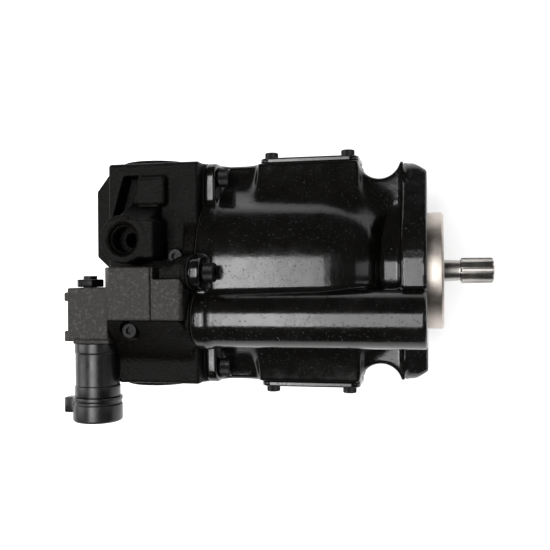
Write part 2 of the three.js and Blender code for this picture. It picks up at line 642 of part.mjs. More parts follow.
// ---------------------------------------------------------------- assembly
function casingGroup() {
  const group = new THREE.Group();
  group.add(mesh("main_housing", mainHousing(), ENAMEL));
  group.add(mesh("case_gasket", caseGasket(), GASKET_FIBRE));
  group.add(mesh("end_cover", endCover(), ROUGH_CASTING));
  const coverY = TRUNNION.faceY + GAP;
  group.add(mesh("trunnion_cover_top", trunnionCover(), ENAMEL, [TRUNNION.x, coverY, 0]));
  group.add(mesh("trunnion_cover_bottom", trunnionCover(), ENAMEL, [TRUNNION.x, -coverY, 0], [Math.PI, 0, 0]));
  const headY = coverY + COVER.thickness + GAP;
  const screw = capScrew(5.9, 5, 4, 17);
  corners(COVER.screwX, COVER.screwZ, 0).forEach(([x, z], i) => {
    const turn = Math.PI / 2;
    group.add(mesh(`cover_screw_top_${i + 1}`, screw, OXIDE, [COVER.x + x, headY, z], [-turn, 0, 0]));
    group.add(mesh(`cover_screw_bottom_${i + 1}`, screw, OXIDE, [COVER.x + x, -headY, z], [turn, 0, 0]));
  });
  const long = capScrew(8, 10, 5, 32);
  JOINT_SCREWS.forEach(([y, z], i) => {
    const x = JOINT.caseRear + JOINT.lugLength + GAP;
    group.add(mesh(`case_screw_${i + 1}`, long, OXIDE, [x, y, z], [0, Math.PI / 2, 0]));
  });
  const plug = join(rod("Z", 10, 0, 16, 16), cut(rod("Z", 14, -4, 0, 6), rod("Z", 5, -6, -1, 6)));
  group.add(mesh("drain_plug", plug, OXIDE, [-140, 0, -80.3]));
  return group;
}

function shaftGroup() {
  const group = new THREE.Group();
  const { x0, x1 } = FRONT_BEARING;
  group.add(mesh("drive_shaft", driveShaft(), STEEL));
  group.add(mesh("front_bearing_cup", frontBearingCup(), STEEL));
  group.add(mesh("front_bearing_cone", frontBearingCone(), STEEL));
  group.add(mesh("front_bearing_rollers", rollerCage(25.9, 30, x0 + 2, x1 - 2, 15), STEEL));
  group.add(mesh("shaft_seal", shaftSeal(), RUBBER));
  group.add(mesh("retaining_ring", retainingRing(), SPRING_STEEL));
  const rear = REAR_BEARING;
  group.add(mesh("rear_bearing_ring", tube("X", 17, rear.outer, rear.x0, rear.x1, 20), STEEL));
  group.add(mesh("rear_bearing_rollers", rollerCage(rear.bore, 16.7, rear.x0 + 1, rear.x1 - 1, 14), STEEL));
  return group;
}

function rotatingGroup() {
  const group = new THREE.Group();
  group.add(mesh("cylinder_block", cylinderBlock(), STEEL));
  const piston = pistonWithShoe();
  for (let i = 0; i < GROUP.pistons; i += 1) {
    const y = GROUP.pitch * Math.cos(groupAngle(i));
    const z = GROUP.pitch * Math.sin(groupAngle(i));
    group.add(mesh(`piston_${i + 1}`, piston, STEEL, [GROUP.runningX - GAP, y, z]));
  }
  group.add(mesh("shoe_retainer_plate", retainerPlate(), STEEL));
  group.add(mesh("ball_guide", ballGuide(), BRONZE));
  const springLength = -128 - BLOCK.springFloor - 2 * GAP;
  group.add(mesh("block_spring", coilSpring(18.2, 1.5, springLength, 4), SPRING_STEEL, [BLOCK.springFloor + GAP, 0, 0]));
  group.add(mesh("valve_plate", valvePlate(), BRONZE));
  return group;
}

function swashGroup() {
  const group = new THREE.Group();
  group.add(mesh("swashplate", swashplate(), STEEL));
  group.add(mesh("wear_plate", wearPlate(), BRONZE));
  const bearing = tube("Y", TRUNNION.pinRadius + GAP, 20, 66, 86, 24);
  group.add(mesh("trunnion_bearing_top", bearing, STEEL, [TRUNNION.x, 0, 0]));
  group.add(mesh("trunnion_bearing_bottom", bearing, STEEL, [TRUNNION.x, 0, 0], [Math.PI, 0, 0]));
  group.add(mesh("control_piston", controlPiston(), STEEL, [0, RIB.y, RIB.z]));
  group.add(mesh("bias_piston", biasPiston(), STEEL, [0, RIB.y, RIB.z]));
  const seat = TRUNNION.x - LEVER.tipRadius - GAP - 8;
  const springX = JOINT.coverFront + GAP;
  const spring = coilSpring(5.6, 1.3, seat - GAP - springX, 7);
  group.add(mesh("bias_spring", spring, SPRING_STEEL, [springX, RIB.y, RIB.z]));
  return group;
}

function controlGroup() {
  const group = new THREE.Group();
  const { spoolY, spoolZ, right } = COMPENSATOR;
  group.add(mesh("compensator_block", compensatorBlock(), ROUGH_CASTING));
  group.add(mesh("compensator_cap", compensatorCap(), ROUGH_CASTING));
  group.add(mesh("compensator_spool", compensatorSpool(), STEEL, [0, spoolY, spoolZ]));
  const springLength = right - 5 + 224 - 2 * GAP;
  const spring = coilSpring(5, 1, springLength, 5);
  group.add(mesh("compensator_spring", spring, SPRING_STEEL, [-224 + GAP, spoolY, spoolZ]));
  const screw = capScrew(6.5, 8, 4, 24);
  group.add(mesh("compensator_screw_1", screw, OXIDE, [...COMPENSATOR_SCREWS[0], 78 + GAP]));
  group.add(mesh("compensator_screw_2", screw, OXIDE, [...COMPENSATOR_SCREWS[1], PORT_BLOCK.front + GAP]));
  const { axisX, axisZ, screwX } = PILOT_VALVE;
  group.add(mesh("pilot_valve_body", pilotValveBody(), ROUGH_CASTING));
  group.add(mesh("adjusting_screw", adjustingScrew(), OXIDE, [screwX, 0, axisZ]));
  group.add(mesh("pilot_spool", pilotSpool(), STEEL, [axisX, 0, axisZ]));
  group.add(mesh("solenoid_coil", solenoidCoil(), PLASTIC, [axisX, 0, axisZ]));
  group.add(mesh("connector_shell", connectorShell(), PLASTIC, [axisX, 0, axisZ]));
  return group;
}

const pump = new THREE.Group();
pump.add(casingGroup(), shaftGroup(), rotatingGroup(), swashGroup(), controlGroup());

export default pump;
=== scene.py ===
"""Axial piston pump: cast black housing and controls, machined pilot and splined shaft."""
import json
import math

import bmesh
import bpy
import numpy as np
from mathutils import Matrix, Vector


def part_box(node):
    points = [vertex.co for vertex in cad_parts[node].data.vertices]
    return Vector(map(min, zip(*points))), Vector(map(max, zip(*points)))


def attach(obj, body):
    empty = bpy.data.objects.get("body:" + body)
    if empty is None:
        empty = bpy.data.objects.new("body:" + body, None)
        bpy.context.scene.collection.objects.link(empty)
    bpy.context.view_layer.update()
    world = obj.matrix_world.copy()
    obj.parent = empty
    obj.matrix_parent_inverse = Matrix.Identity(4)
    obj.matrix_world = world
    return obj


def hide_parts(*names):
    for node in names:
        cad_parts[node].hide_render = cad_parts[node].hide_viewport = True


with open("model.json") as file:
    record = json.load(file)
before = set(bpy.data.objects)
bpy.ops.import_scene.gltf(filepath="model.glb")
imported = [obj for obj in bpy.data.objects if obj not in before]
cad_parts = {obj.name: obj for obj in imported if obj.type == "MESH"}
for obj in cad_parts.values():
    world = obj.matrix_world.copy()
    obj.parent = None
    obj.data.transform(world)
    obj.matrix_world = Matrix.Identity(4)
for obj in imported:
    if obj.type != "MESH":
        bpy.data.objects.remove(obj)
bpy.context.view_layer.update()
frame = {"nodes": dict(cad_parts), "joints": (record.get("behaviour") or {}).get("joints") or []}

MM = 0.001


def node_box(name):
    """A CAD node's lowest and highest corners in millimetres."""
    low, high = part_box(name)
    return np.array(low) / MM, np.array(high) / MM


def joint_place(name):
    """The point on a joint's axis, in millimetres."""
    return np.array(next(j["pos_m"] for j in frame["joints"] if j["name"] == name)) / MM


# ---------------- places, in millimetres
HOUSING_LOW, HOUSING_HIGH = node_box("main_housing")
COVER_LOW, COVER_HIGH = node_box("end_cover")
SHAFT_END = node_box("drive_shaft")[1][0]
BLOCK_LOW, BLOCK_HIGH = node_box("compensator_block")
CAP_LOW, CAP_HIGH = node_box("compensator_cap")
VALVE_LOW, VALVE_HIGH = node_box("pilot_valve_body")
TOP_PLATE_LOW, TOP_PLATE_HIGH = node_box("trunnion_cover_top")
COIL_LOW, COIL_HIGH = node_box("solenoid_coil")
SHELL_LOW, SHELL_HIGH = node_box("connector_shell")
ADJUST_LOW, ADJUST_HIGH = node_box("adjusting_screw")
RIB_PLACE = sum(node_box("control_piston")) / 2
RIB_AXIS = (0, RIB_PLACE[1], RIB_PLACE[2])
TRUNNION_X = joint_place("swash_tilt")[0]
PAD_X = (TOP_PLATE_LOW[0] + TOP_PLATE_HIGH[0]) / 2
PLATE_THICKNESS = 4.5
PLATE_HALF_X = 43.5
PLATE_CORNER = 8.5
VALVE_AXIS = joint_place("adjusting_screw_turn")

CASE_REAR = HOUSING_LOW[0]
PILOT_END = HOUSING_HIGH[0]
PILOT_RADIUS = 50.8
FLANGE_THICKNESS = 21.0
FLANGE_RADIUS = 67.0
EAR_PLACE = 75.0
EAR_RADIUS = 20.0
EAR_Y = 95.8
EAR_FRONT = (-13, 87)
SCALLOP_PLACE = (-40.6, 97.8)
SCALLOP_RADIUS = 17.6
BOLT_Y = 73.0
BOLT_RADIUS = 7.15
BOLT_ROOM = 13
BARREL_REAR = 74.0
BARREL_FRONT = 71.0
DOME_X = -98.0
DOME_LENGTH = 59
DOME_DROP = 27
DOME_TURN = 86
DOME_STEPS = 12
NECK_RADIUS = 45.0
RIB_RADIUS = 24.5
PORT_X = -248.0
INLET_BORE = 22.5
OUTLET_BORE = 19.0
INLET_BOSS = 33.0
OUTLET_BOSS = 30.5
DRAIN_PLACE = (-246.0, 28.0)
DRAIN_BORE = 11.8
DRAIN_BOSS = 20.0
CONTROL_SCREWS = [(-244, -48, 0), (-209, 14, 0)]
CONTROL_SCREW_BORE = 4.7
SPOOL_PLACE = (0, -17, 76)
COIL_PLACE = (-284.5, 0, 60.0)
COIL_RADIUS = 19.6
SHELL_RADIUS = 21.4
SPLINE_ROOT = 9.2
SETTLE_ROUNDS = 4
SHARP_DEGREES = 32
GRID_STEPS = {"housing": 1.75, "end_cover": 1.4, "plate": 1.0, "control": 0.75}
CASE_SCREWS = [f"case_screw_{i}" for i in range(1, 7)]
COVER_SCREWS = [f"cover_screw_{side}_{i}" for side in ("top", "bottom") for i in range(1, 5)]


# ---------------- cast shapes as distance fields
# A field takes points (n, 3) in millimetres and gives the distance to its surface, negative inside.
def soft_min(a, b, fillet):
    """The smaller of two distances, blended where they are closer together than the fillet."""
    if fillet <= 0:
        return np.minimum(a, b)
    h = np.clip(0.5 + 0.5 * (b - a) / fillet, 0, 1)
    return b + (a - b) * h - fillet * h * (1 - h)


def joined(fillet, *fields):
    def field(p):
        total = fields[0](p)
        for other in fields[1:]:
            total = soft_min(total, other(p), fillet)
        return total
    return field


def carved(fillet, base, *tools):
    def field(p):
        left = base(p)
        for tool in tools:
            left = -soft_min(-left, tool(p), fillet)
        return left
    return field


def common(fillet, first, second):
    return lambda p: -soft_min(-first(p), -second(p), fillet)


def box_field(low, high, edge=1.5):
    centre = (np.array(low, np.float32) + np.array(high, np.float32)) / 2
    half = np.array(high, np.float32) - centre - edge

    def field(p):
        q = np.abs(p - centre) - half
        outside = np.sqrt((np.maximum(q, 0) ** 2).sum(1))
        return outside + np.minimum(q.max(1), 0) - edge
    return field


def outline_distance(a, b, outline):
    """Signed distance of plane points (a, b) to a closed outline."""
    nearest = np.full(a.shape, 1e9, np.float32)
    inside = np.zeros(a.shape, bool)
    for (a0, b0), (a1, b1) in zip(outline, outline[1:] + outline[:1]):
        ea, eb = a1 - a0, b1 - b0
        wa, wb = a - a0, b - b0
        t = np.clip((wa * ea + wb * eb) / (ea * ea + eb * eb), 0, 1)
        nearest = np.minimum(nearest, (wa - ea * t) ** 2 + (wb - eb * t) ** 2)
        above = b >= b0
        below = b < b1
        left = ea * wb > eb * wa
        inside ^= (above & below & left) | (~above & ~below & ~left)
    return np.where(inside, -1, 1) * np.sqrt(nearest)


def across(p, axis, low, high, edge):
    """Distance past the two flat ends of a shape, drawn in by its edge radius."""
    return np.abs(p[:, axis] - (low + high) / 2) - (high - low) / 2 + edge


def rounded(flat, deep, edge):
    """Joins the distances across and along a shape into one with round edges."""
    outside = np.sqrt(np.maximum(flat, 0) ** 2 + np.maximum(deep, 0) ** 2)
    return outside + np.minimum(np.maximum(flat, deep), 0) - edge


def prism_field(axis, outline, low, high, edge=1.5):
    """A prism along axis 0, 1 or 2 whose outline is in the other two axes, in their order."""
    u, v = [i for i in range(3) if i != axis]

    def field(p):
        flat = outline_distance(p[:, u], p[:, v], outline) + edge
        return rounded(flat, across(p, axis, low, high, edge), edge)
    return field


def turned_field(axis, profile, place=(0, 0, 0)):
    """A solid of revolution; profile points are (along, radius) and reach below the axis."""
    u, v = [i for i in range(3) if i != axis]

    def field(p):
        radius = np.hypot(p[:, u] - place[u], p[:, v] - place[v])
        return outline_distance(p[:, axis], radius, profile)
    return field


def rod_field(axis, radius, low, high, place=(0, 0, 0), edge=1.0):
    """A round rod along axis 0, 1 or 2, through a place in the other two axes."""
    u, v = [i for i in range(3) if i != axis]

    def field(p):
        flat = np.hypot(p[:, u] - place[u], p[:, v] - place[v]) - radius + edge
        return rounded(flat, across(p, axis, low, high, edge), edge)
    return field


def circle_points(a, b, radius, steps):
    turn = [2 * math.pi * i / steps for i in range(steps)]
    return [(a + radius * math.cos(t), b + radius * math.sin(t)) for t in turn]


def hull_outline(circles, steps=28):
    """The tight outline around a set of circles (a, b, radius)."""
    points = sorted(p for c in circles for p in circle_points(*c, steps))

    def half(ordered):
        chain = []
        for p in ordered:
            while len(chain) > 1 and cross(chain[-2], chain[-1], p) <= 1e-6:
                chain.pop()
            chain.append(p)
        return chain[:-1]

    def cross(o, p, q):
        return (p[0] - o[0]) * (q[1] - o[1]) - (p[1] - o[1]) * (q[0] - o[0])
    return half(points) + half(points[::-1])


def sample_grid(field, low, high, step):
    """Field values on a grid, worked out finely only in the blocks that the surface may cross."""
    block = 4
    counts = [int(math.ceil((h - l) / (step * block))) for l, h in zip(low, high)]
    shape = [n * block + 1 for n in counts]
    axes = [l + step * np.arange(n, dtype=np.float32) for l, n in zip(low, shape)]
    centres = [l + step * block * (np.arange(n, dtype=np.float32) + 0.5) for l, n in zip(low, counts)]
    coarse = np.stack(np.meshgrid(*centres, indexing="ij"), -1).reshape(-1, 3)
    values = field(coarse).reshape(counts)
    spread = np.kron(values, np.ones((block,) * 3, np.float32))
    grid = np.pad(spread, [(0, 1)] * 3, mode="edge").astype(np.float32)
    near = np.abs(values) < step * block * 1.3
    fine = np.zeros(shape, bool)
    for offset in np.ndindex(block + 1, block + 1, block + 1):
        i, j, k = [slice(o, o + block * n, block) for o, n in zip(offset, counts)]
        fine[i, j, k] |= near
    where = np.argwhere(fine)
    points = np.stack([axes[a][where[:, a]] for a in range(3)], -1)
    grid[fine] = field(points)
    return grid


def surface_net(grid, low, step):
    """Corner points and four-sided faces of the zero surface of a grid of values."""
    inside = grid < 0
    cells = np.array(grid.shape) - 1
    corner_sum = np.zeros(cells, np.int8)
    for o in np.ndindex(2, 2, 2):
        corner_sum += inside[o[0]:o[0] + cells[0], o[1]:o[1] + cells[1], o[2]:o[2] + cells[2]]
    active = (corner_sum > 0) & (corner_sum < 8)
    number = np.full(cells, -1, np.int64)
    number[active] = np.arange(active.sum())
    where = np.argwhere(active)
    total = np.zeros((len(where), 3))
    count = np.zeros(len(where))
    for axis in range(3):
        for side in np.ndindex(2, 2):
            start = np.insert(np.array(side), axis, 0)
            end = np.insert(np.array(side), axis, 1)
            a = grid[tuple((where + start).T)]
            b = grid[tuple((where + end).T)]
            crossing = (a < 0) != (b < 0)
            t = np.where(crossing, a / np.where(crossing, a - b, 1), 0)
            total += crossing[:, None] * (start + (end - start) * t[:, None])
            count += crossing
    corners = np.array(low) + step * (where + total / count[:, None])
    faces = []
    for axis in range(3):
        u, v = [(axis + 1) % 3, (axis + 2) % 3]
        first = [slice(1, -1)] * 3
        second = [slice(1, -1)] * 3
        first[axis] = slice(0, -1)
        second[axis] = slice(1, None)
        a, b = inside[tuple(first)], inside[tuple(second)]
        for starts_inside in (True, False):
            edge = np.argwhere((a != b) & (a == starts_inside))
            edge[:, u] += 1
            edge[:, v] += 1
            ring = [(0, 0), (-1, 0), (-1, -1), (0, -1)]
            if not starts_inside:
                ring = ring[::-1]
            quad = []
            for du, dv in ring:
                cell = edge.copy()
                cell[:, u] += du
                cell[:, v] += dv
                quad.append(number[tuple(cell.T)])
            faces.append(np.stack(quad, -1))
    return corners, np.concatenate(faces)


def slope(field, points, reach=0.05):
    """The direction and rate of change of a field at some points."""
    gradient = np.empty(points.shape)
    for axis in range(3):
        shift = np.zeros(3, np.float32)
        shift[axis] = reach
        gradient[:, axis] = (field(points + shift) - field(points - shift)) / (2 * reach)
    return gradient


def settle(field, corners, faces, rounds):
    """Evens out the net and draws each corner onto the surface itself."""
    pairs = np.concatenate([faces[:, [i, (i + 1) % 4]] for i in range(4)])
    degree = np.bincount(pairs.ravel(), minlength=len(corners))
    for turn in range(rounds):
        if turn < rounds - 1:
            mean = np.stack([
                np.bincount(pairs[:, 0], corners[pairs[:, 1], axis], len(corners))
                + np.bincount(pairs[:, 1], corners[pairs[:, 0], axis], len(corners))
                for axis in range(3)], -1) / degree[:, None]
            corners = corners + 0.6 * (mean - corners)
        gradient = slope(field, corners.astype(np.float32))
        length = np.maximum((gradient ** 2).sum(1), 0.25)
        distance = field(corners.astype(np.float32))
        corners = corners - gradient * (distance / length)[:, None]
    return corners


def link_object(name, data):
    thing = bpy.data.objects.new(name, data)
    bpy.context.scene.collection.objects.link(thing)
    return thing


def mesh_piece(name, corners, faces, material):
    """A Blender object from corners in millimetres and faces of four corners."""
    mesh = bpy.data.meshes.new(name)
    mesh.vertices.add(len(corners))
    mesh.vertices.foreach_set("co", (np.asarray(corners) * MM).astype(np.float32).ravel())
    mesh.loops.add(faces.size)
    mesh.loops.foreach_set("vertex_index", faces.ravel().astype(np.int32))
    mesh.polygons.add(len(faces))
    mesh.polygons.foreach_set("loop_start", np.arange(0, faces.size, 4, dtype=np.int32))
    mesh.polygons.foreach_set("use_smooth", np.ones(len(faces), bool))
    mesh.update(calc_edges=True)
    mesh.validate()
    mesh.materials.append(material)
    return link_object(name, mesh)


def cast_piece(name, field, low, high, step, material):
    """A cast shape as a mesh, with the grid step in millimetres."""
    low = np.array(low, float) - 2.5 * step
    high = np.array(high, float) + 2.5 * step
    corners, faces = surface_net(sample_grid(field, low, high, step), low, step)
    return mesh_piece(name, settle(field, corners, faces, SETTLE_ROUNDS), faces, material)


# ---------------- turned and cut shapes
def ease(profile, reach, closed=False):
    """Rounds a profile's corners, leaving the points on the axis as they are."""
    eased = []
    last = len(profile) - 1
    for i, point in enumerate(profile):
        if not closed and (i in (0, last) or point[1] < 1e-6):
            eased.append(point)
            continue
        here = np.array(point, float)
        before = np.array(profile[i - 1], float) - here
        after = np.array(profile[(i + 1) % len(profile)], float) - here
        start = here + before * min(reach / np.linalg.norm(before), 0.45)
        end = here + after * min(reach / np.linalg.norm(after), 0.45)
        for t in (0, 0.33, 0.67, 1):
            eased.append(tuple(start * (1 - t) ** 2 + here * 2 * t * (1 - t) + end * t ** 2))
    return eased


def shade(mesh, sharp):
    """Smooth shading, with edges sharper than the given degrees left sharp."""
    mesh.polygons.foreach_set("use_smooth", np.ones(len(mesh.polygons), bool))
    mesh.set_sharp_from_angle(angle=math.radians(sharp))


def plain_piece(name, bm, material):
    bmesh.ops.recalc_face_normals(bm, faces=bm.faces)
    bmesh.ops.scale(bm, vec=(MM, MM, MM), verts=bm.verts)
    mesh = bpy.data.meshes.new(name)
    bm.to_mesh(mesh)
    bm.free()
    shade(mesh, SHARP_DEGREES)
    mesh.materials.append(material)
    return link_object(name, mesh)


def turn_into(bm, axis, profile, place, segments, closed):
    """Adds a solid of revolution about an axis to a mesh under construction."""
    u, v = [i for i in range(3) if i != axis]
    rings = []
    for along, radius in profile:
        ring = []
        for k in range(segments if radius > 1e-6 else 1):
            turn = 2 * math.pi * k / segments
            point = [0.0] * 3
            point[axis] = along
            point[u] = place[u] + radius * math.cos(turn)
            point[v] = place[v] + radius * math.sin(turn)
            ring.append(bm.verts.new(point))
        rings.append(ring)
    for first, second in zip(rings, rings[1:] + (rings[:1] if closed else [])):
        for k in range(segments):
            following = (k + 1) % segments
            corners = [first[k % len(first)], first[following % len(first)],
                       second[following % len(second)], second[k % len(second)]]
            face = list(dict.fromkeys(corners))
            if len(face) > 2:
                bm.faces.new(face)


def turned_piece(name, axis, profile, material, place=(0, 0, 0), segments=96, closed=False):
    bm = bmesh.new()
    turn_into(bm, axis, profile, place, segments, closed)
    return plain_piece(name, bm, material)


def prism_into(bm, axis, outline, low, high, bevel):
    """Adds a prism with bevelled edges to a mesh under construction."""
    u, v = [i for i in range(3) if i != axis]
    ring = []
    for a, b in outline:
        point = [0.0] * 3
        point[axis], point[u], point[v] = low, a, b
        ring.append(bm.verts.new(point))
    face = bm.faces.new(ring)
    grown = bmesh.ops.extrude_face_region(bm, geom=[face])["geom"]
    shift = Vector([0, 0, 0])
    shift[axis] = high - low
    bmesh.ops.translate(bm, vec=shift, verts=[e for e in grown if isinstance(e, bmesh.types.BMVert)])
    edges = set(face.edges)
    for vert in ring:
        edges.update(vert.link_edges)
    for element in grown:
        if isinstance(element, bmesh.types.BMEdge):
            edges.add(element)
    bmesh.ops.bevel(bm, geom=list(edges), offset=bevel, segments=2, profile=0.5, affect="EDGES")


def rectangle(a0, a1, b0, b1):
    return [(a0, b0), (a1, b0), (a1, b1), (a0, b1)]


def pad_field(axis, centre, halves, corner, low, high, edge=1.0):
    """A flat pad with round corners, its centre and half sizes in the other two axes."""
    u, v = [i for i in range(3) if i != axis]

    def field(p):
        a = np.abs(p[:, u] - centre[0]) - halves[0] + corner
        b = np.abs(p[:, v] - centre[1]) - halves[1] + corner
        flat = np.hypot(np.maximum(a, 0), np.maximum(b, 0)) + np.minimum(np.maximum(a, b), 0)
        flat = flat - corner + edge
        deep = across(p, axis, low, high, edge)
        outside = np.hypot(np.maximum(flat, 0), np.maximum(deep, 0))
        return outside + np.minimum(np.maximum(flat, deep), 0) - edge
    return field


# ---------------- node trees
def feed(tree, socket, value):
    """Links an output into a socket, or sets the socket's constant."""
    if isinstance(value, bpy.types.NodeSocket):
        tree.links.new(value, socket)
    else:
        socket.default_value = value


def add(tree, kind, settings=None, sockets=None):
    """Adds a node: settings are its own values, sockets are constants or outputs to link in."""
    node = tree.nodes.new(kind)
    for name, value in (settings or {}).items():
        setattr(node, name, value)
    for name, value in (sockets or {}).items():
        feed(tree, node.inputs[name], value)
    return node


def linear(colour):
    """A hex colour as linear RGBA."""
    parts = [int(colour[i:i + 2], 16) / 255 for i in (1, 3, 5)]
    return [c / 12.92 if c <= 0.04045 else ((c + 0.055) / 1.055) ** 2.4 for c in parts] + [1.0]


def surface(name):
    """A new material's tree, its shader and its object coordinates."""
    material = bpy.data.materials.new(name)
    material.use_nodes = True
    tree = material.node_tree
    shader = tree.nodes["Principled BSDF"]
    place = add(tree, "ShaderNodeTexCoord").outputs["Object"]
    return material, tree, shader, place


def noise(tree, place, size, detail=3.0, roughness=0.55):
    """Soft random values whose features are about size millimetres across."""
    sockets = {"Vector": place, "Scale": 1 / (size * MM), "Detail": detail, "Roughness": roughness}
    return add(tree, "ShaderNodeTexNoise", None, sockets).outputs["Fac"]


def span(tree, value, low, high, to_low=0.0, to_high=1.0):
    settings = {"Value": value, "From Min": low, "From Max": high, "To Min": to_low, "To Max": to_high}
    return add(tree, "ShaderNodeMapRange", None, settings).outputs["Result"]


def tint(tree, amount, first, second):
    mix = add(tree, "ShaderNodeMix", {"data_type": "RGBA"})
    values = {"Factor_Float": amount, "A_Color": linear(first), "B_Color": linear(second)}
    for socket, value in values.items():
        feed(tree, next(s for s in mix.inputs if s.identifier == socket), value)
    return next(s for s in mix.outputs if s.identifier == "Result_Color")


def relief(tree, height, depth, below=None):
    """A bump whose height of 1 stands depth millimetres, laid over another bump if given."""
    sockets = {"Height": height, "Distance": depth * MM, "Strength": 1.0}
    if below is not None:
        sockets["Normal"] = below
    return add(tree, "ShaderNodeBump", None, sockets).outputs["Normal"]


def dress(tree, shader, **sockets):
    for name, value in sockets.items():
        feed(tree, shader.inputs[name.replace("_", " ")], value)


# ---------------- materials
def black_enamel():
    """Glossy black stoving enamel sprayed over a sand casting: orange peel over soft cast waves."""
    material, tree, shader, place = surface("black_enamel_on_iron")
    waves = relief(tree, noise(tree, place, 9, 2), 0.10)
    skin = relief(tree, noise(tree, place, 2.2, 2), 0.028, waves)
    grit = span(tree, noise(tree, place, 1.5, 1), 0.69, 0.76)
    pimples = relief(tree, grit, 0.16, skin)
    haze = span(tree, noise(tree, place, 14, 4), 0.35, 0.75, 0.13, 0.24)
    colour = tint(tree, span(tree, noise(tree, place, 20, 3), 0.4, 0.7), "#080706", "#0f0e0d")
    dress(tree, shader, Base_Color=colour, Roughness=haze, Normal=pimples)
    return material


def rough_casting(name, dark, light, roughness, gloss):
    """Sand-cast iron under a thin coat of satin black: open grain, lighter on its high spots."""
    material, tree, shader, place = surface(name)
    grain = noise(tree, place, 2.3, 4, 0.6)
    lumps = noise(tree, place, 6.5, 3)
    body = relief(tree, lumps, 0.6)
    skin = relief(tree, grain, 1.1, body)
    # Colour turns lighter where the grain noise stands high; the same noise also raises the bump.
    grain_rise = span(tree, grain, 0.5, 0.72)
    colour = tint(tree, grain_rise, dark, light)
    sheen = span(tree, grain, 0.3, 0.7, roughness - 0.08, roughness + 0.12)
    dress(tree, shader, Base_Color=colour, Roughness=sheen, Normal=skin, Specular_IOR_Level=gloss)
    return material


def machined(name, colour_dark, colour_light, pitch, roughness, depth=0.02):
    """Turned or ground metal: fine tool marks along the X axis, with faint stains."""
    material, tree, shader, place = surface(name)
    apart = add(tree, "ShaderNodeSeparateXYZ", None, {"Vector": place}).outputs["X"]
    marks = add(tree, "ShaderNodeTexNoise", {"noise_dimensions": "1D"}, {
        "W": apart, "Scale": 1 / (pitch * MM), "Detail": 4.0, "Roughness": 0.7}).outputs["Fac"]
    stains = noise(tree, place, 12, 4)
    lines = relief(tree, marks, depth)
    colour = tint(tree, span(tree, stains, 0.35, 0.7), colour_dark, colour_light)
    sheen = span(tree, stains, 0.3, 0.7, roughness * 0.85, roughness * 1.2)
    dress(tree, shader, Base_Color=colour, Roughness=sheen, Metallic=1.0, Normal=lines)
    return material


def black_oxide():
    """Hot-blacked alloy steel of cap screws: near-black, oily, with faint rub marks."""
    material, tree, shader, place = surface("black_oxide_steel")
    rub = span(tree, noise(tree, place, 1.8, 4), 0.55, 0.8)
    colour = tint(tree, rub, "#1a1a1b", "#3a3a3c")
    skin = relief(tree, noise(tree, place, 0.5, 2), 0.015)
    sheen = span(tree, rub, 0, 1, 0.42, 0.3)
    dress(tree, shader, Base_Color=colour, Roughness=sheen, Metallic=0.75, Normal=skin)
    return material


def moulded(name, dark, light, roughness, grain, depth):
    """Moulded plastic or rubber: fine moulded grain and a slow change of sheen."""
    material, tree, shader, place = surface(name)
    fine = noise(tree, place, grain, 2)
    slow = noise(tree, place, 9, 3)
    colour = tint(tree, span(tree, slow, 0.35, 0.7), dark, light)
    sheen = span(tree, slow, 0.3, 0.7, roughness - 0.05, roughness + 0.07)
    dress(tree, shader, Base_Color=colour, Roughness=sheen, Normal=relief(tree, fine, depth))
    return material


def fibre():
    """Compressed fibre sheet gasket, its edge painted over in black with the housing."""
    material, tree, shader, place = surface("gasket_fibre")
    fibres = noise(tree, place, 0.6, 5, 0.7)
    colour = tint(tree, fibres, "#0d0e0d", "#1c1e1b")
    dress(tree, shader, Base_Color=colour, Roughness=0.88, Normal=relief(tree, fibres, 0.05))
    return material


ENAMEL = black_enamel()
# A lighter grey copy of the end cover's black casting: painted highlight for the brightly lit faces of the
# control blocks and pilot valve body.
CASTING_PAINTED_HIGHLIGHT = rough_casting("black_casting_painted_highlight", "#242220", "#52504d", 0.5, 0.35)
COVER_CASTING = rough_casting("black_painted_casting", "#040302", "#110e0b", 0.44, 0.12)
PILOT_METAL = machined("turned_iron", "#b3aaa2", "#cfc6be", 0.55, 0.42)
SHAFT_METAL = machined("ground_shaft_steel", "#8d8a87", "#aaa7a3", 0.3, 0.3)
BEARING_METAL = machined("bearing_steel", "#b4b4b3", "#cfcfce", 0.25, 0.16, depth=0.008)
GROUND_METAL = machined("ground_case_hardened_steel", "#9b9a98", "#b5b4b1", 0.3, 0.22, depth=0.01)
BRONZE_METAL = machined("leaded_bronze", "#a9793a", "#c59a56", 0.4, 0.3)
SPRING_METAL = machined("oil_tempered_spring_wire", "#4b4c4f", "#6f7073", 0.8, 0.34, depth=0.01)
OXIDE = black_oxide()
PLASTIC = moulded("glass_filled_nylon", "#0b0b0c", "#141415", 0.32, 0.5, 0.02)
RUBBER = moulded("nitrile_rubber", "#101010", "#191919", 0.6, 0.3, 0.01)
GASKET = fibre()


def own(piece, body, nodes):
    """Says which body a piece rides on and hides the CAD nodes that it stands for."""
    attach(piece, body)
    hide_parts(*nodes)
    return piece


# ---------------- main housing
LUGS = [(s * 83.0, t * 35.0, 13.0) for s in (1, -1) for t in (1, -1)] + [(0, 84.0, 13.0), (0, -84.0, 13.0)]


def joint_flange(low, high):
    """The flange on both sides of the joint: four corner lugs, a round middle and two middle lugs."""
    parts = [prism_field(0, hull_outline(LUGS[:4], 24), low, high, 2),
             rod_field(0, BARREL_REAR + 0.7, low, high, (0, 0, 0), 1.2),
             rod_field(0, RIB_RADIUS, low, high, RIB_AXIS, 1.2)]
    for side in (1, -1):
        parts.append(prism_field(0, hull_outline([(0, side * 84, 13), (0, side * 60, 17)]), low, high, 2))
    return common(0.8, joined(4, *parts), box_field((low, -200, -200), (high, 200, 200), 0.3))


